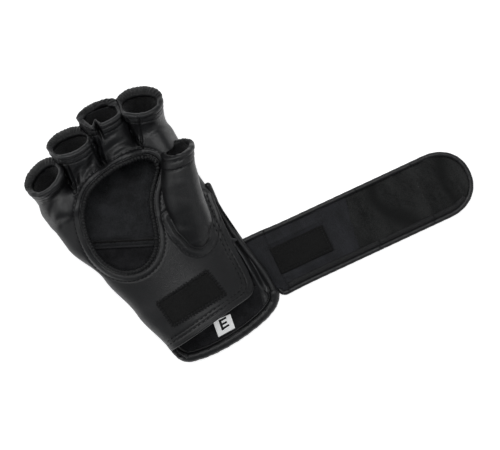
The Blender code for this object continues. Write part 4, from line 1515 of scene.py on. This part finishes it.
pts, inwards = strap_edge(2.1)
count = {}
for k, run in strap_parts(pts):
    line = pts[run]
    count[k] = count.get(k, 0) + 1
    at = strap_point(*line.T, 2.3)
    steps = np.arange(len(line))
    ripple = 0.03 * np.sin(steps * 0.9)
    cord(f"strap_binding_{k}_{count[k]}", at, upwards(len(line)), 2.15, 1.9, LEATHER, False, 14, ripple, False)
for inset, first, last_at, kind in ((6.3, 8, 178, "band"), (5.3, 9, 175, ""), (7.7, 10, 171, "")):
    line = np.column_stack((np.linspace(first, last_at, 160), np.zeros(160)))
    line[:, 1] = -strap_half(line[:, 0]) + inset
    for k, run in strap_parts(line):
        at = strap_point(*line[run].T, 3.3 if kind else 3.85)
        if kind:
            cord(f"strap_{kind}_{k}", at, upwards(len(at)), 2.6, 0.55, RIBBED, False, 14, taper=False)
        else:
            stitch(f"strap_run_{k}", at, upwards(len(at)), False, 2.0, 1.7, 0.34, -0.28)
pts, inwards = strap_edge(4.4)
pts = pts[pts[:, 1] > -STRAP_HALF + 8]
for k, run in strap_parts(pts):
    at = strap_point(*pts[run].T, 3.1)
    if len(at) > 6:
        stitch(f"strap_run_{k}", at, upwards(len(at)), False, 1.6, 1.0, 0.3, 0.0)

nu, nv = 60, 30
PAD_START, PAD_END, PAD_HALF, PAD_TOP = 6.5, 56, 12, 4.3
a, b = grid_of(np.linspace(PAD_START, PAD_END, nu), np.linspace(-PAD_HALF, PAD_HALF, nv))
q = strap_point(a, b, 0)
border = np.minimum.reduce((a - PAD_START, PAD_END - a, b + PAD_HALF, PAD_HALF - b))
pile = (0.25 * value_noise(q, 1.2, 51) + 0.12 * value_noise(q, 0.8, 52)) * smooth(border / 1.5)
high = PAD_TOP + pile - 0.5 * bell(border - 2.2, 0.6) - 0.7 * (1 - smooth(border / 0.8 + 0.3))
slab("strap_hook_pad", strap_point(a, b, high), strap_point(a, b, 2.9), nu, nv, HOOK)
box = resample(np.array(((8.7, 9.8), (53.8, 9.8), (53.8, -9.8), (8.7, -9.8))), 1.0, True)
stitch("strap_1", strap_point(*box.T, 4.0), upwards(len(box)), True, 1.8, 1.0, 0.3, 0.0)
box = resample(np.array(((8, 15.2), (60, 15.2))), 1.0)
stitch("strap_1", strap_point(*box.T, 3.5), upwards(len(box)), False, 1.8, 1.0, 0.3, 0.0)
for body, (parts, faces, _) in STITCHES.items():
    put(f"{body}_stitches", np.vstack(parts), faces, THREAD)

# ------------------------------------------------------------------ how the pieces follow the bodies

STRAP_JOINTS = {1: 60.0, 2: 128.0, 3: 162.0}


def metres(v):
    return tuple(float(x) * MM for x in v)


def follow(obj, name):
    """Lets a piece ride on its body: the strap's hook pad and its stitches ride on the strap's first part and the
    hand's other pieces on the hand, while the pieces of the fingers, the thumb's sleeve and the strap only have
    their placing baked into their points.
    """
    finger = next((f for f in FINGERS if name.startswith(f) and not name.endswith("_web")), None)
    if finger:
        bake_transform(obj)
    elif name.startswith("thumb_") and "welt" not in name:
        first, last = (metres(THUMB_BASE + THUMB_ALONG * THUMB_LENGTH * share) for share in (0.3, 0.85))
        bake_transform(obj)
    elif name.startswith("strap_") and "piping" not in name:
        if name in ("strap_hook_pad", "strap_1_stitches"):
            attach(obj, "strap_1")
            return
        k = 1 if name == "strap_fabric_near" else int(next(c for c in name if c.isdigit()))
        if k == 0:
            metres(strap_point(-4.5, 0, 3.4))
            metres(strap_point(6, 0, 3.4))
            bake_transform(obj)
            return
        at = STRAP_JOINTS[k]
        first, last = (metres(strap_point(at + way, 0, 3.4)) for way in (-11, 11))
        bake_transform(obj)
    else:
        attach(obj, "hand")


# each seen piece and the CAD nodes it stands for
STANDS_FOR = {
    "back_leather": "back_shell knuckle_foam wrist_foam",
    "palm_leather": "palm_panel",
    "palm_hem_roll": "palm_hem slit_binding",
    "palm_grip_patch": "palm_loop_patch",
    "palm_lining_cloth": "palm_lining",
    "knuckle_lining_cloth": "knuckle_lining",
    "wrist_lining_cloth": "wrist_lining",
    "wrist_binding_roll": "wrist_binding",
    "opening_binding_roll": "opening_binding",
    "slit_gusset_folds": "slit_gusset",
    "strap_piping_roll": "strap_piping",
    "strap_cover_0": "strap_root",
    "size_label_tag": "size_label",
    "thumb_front_leather": "thumb_front thumb_foam",
    "thumb_back_leather": "thumb_back",
    "thumb_lining_cloth": "thumb_lining",
    "thumb_hem_roll": "thumb_hem",
    "thumb_welt_cord": "thumb_welt",
    "strap_cover_1": "strap_cover_1",
    "strap_fabric_near": "strap_lining_1",
    "strap_hook_pad": "strap_hook_patch",
    "strap_cover_2": "strap_cover_2 strap_cover_3",
    "strap_fabric_2": "strap_lining_2 strap_lining_3",
    "strap_cover_3": "strap_cover_4",
    "strap_fabric_3": "strap_lining_4",
}
for finger in FINGERS:
    STANDS_FOR[finger + "_front_leather"] = finger + "_loop"
    STANDS_FOR[finger + "_back_leather"] = f"{finger}_pad_cover {finger}_pad_foam"
    STANDS_FOR[finger + "_lining_cloth"] = finger + "_lining"
    STANDS_FOR[finger + "_hem_roll"] = finger + "_hem"
for pair in ("index_middle", "middle_ring", "ring_little"):
    STANDS_FOR[pair + "_web"] = pair + "_gusset"
# each piece follows its body, and the CAD parts it stands for are hidden
for name, obj in list(PIECES.items()):
    follow(obj, name)
    if name in STANDS_FOR:
        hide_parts(*STANDS_FOR[name].split())
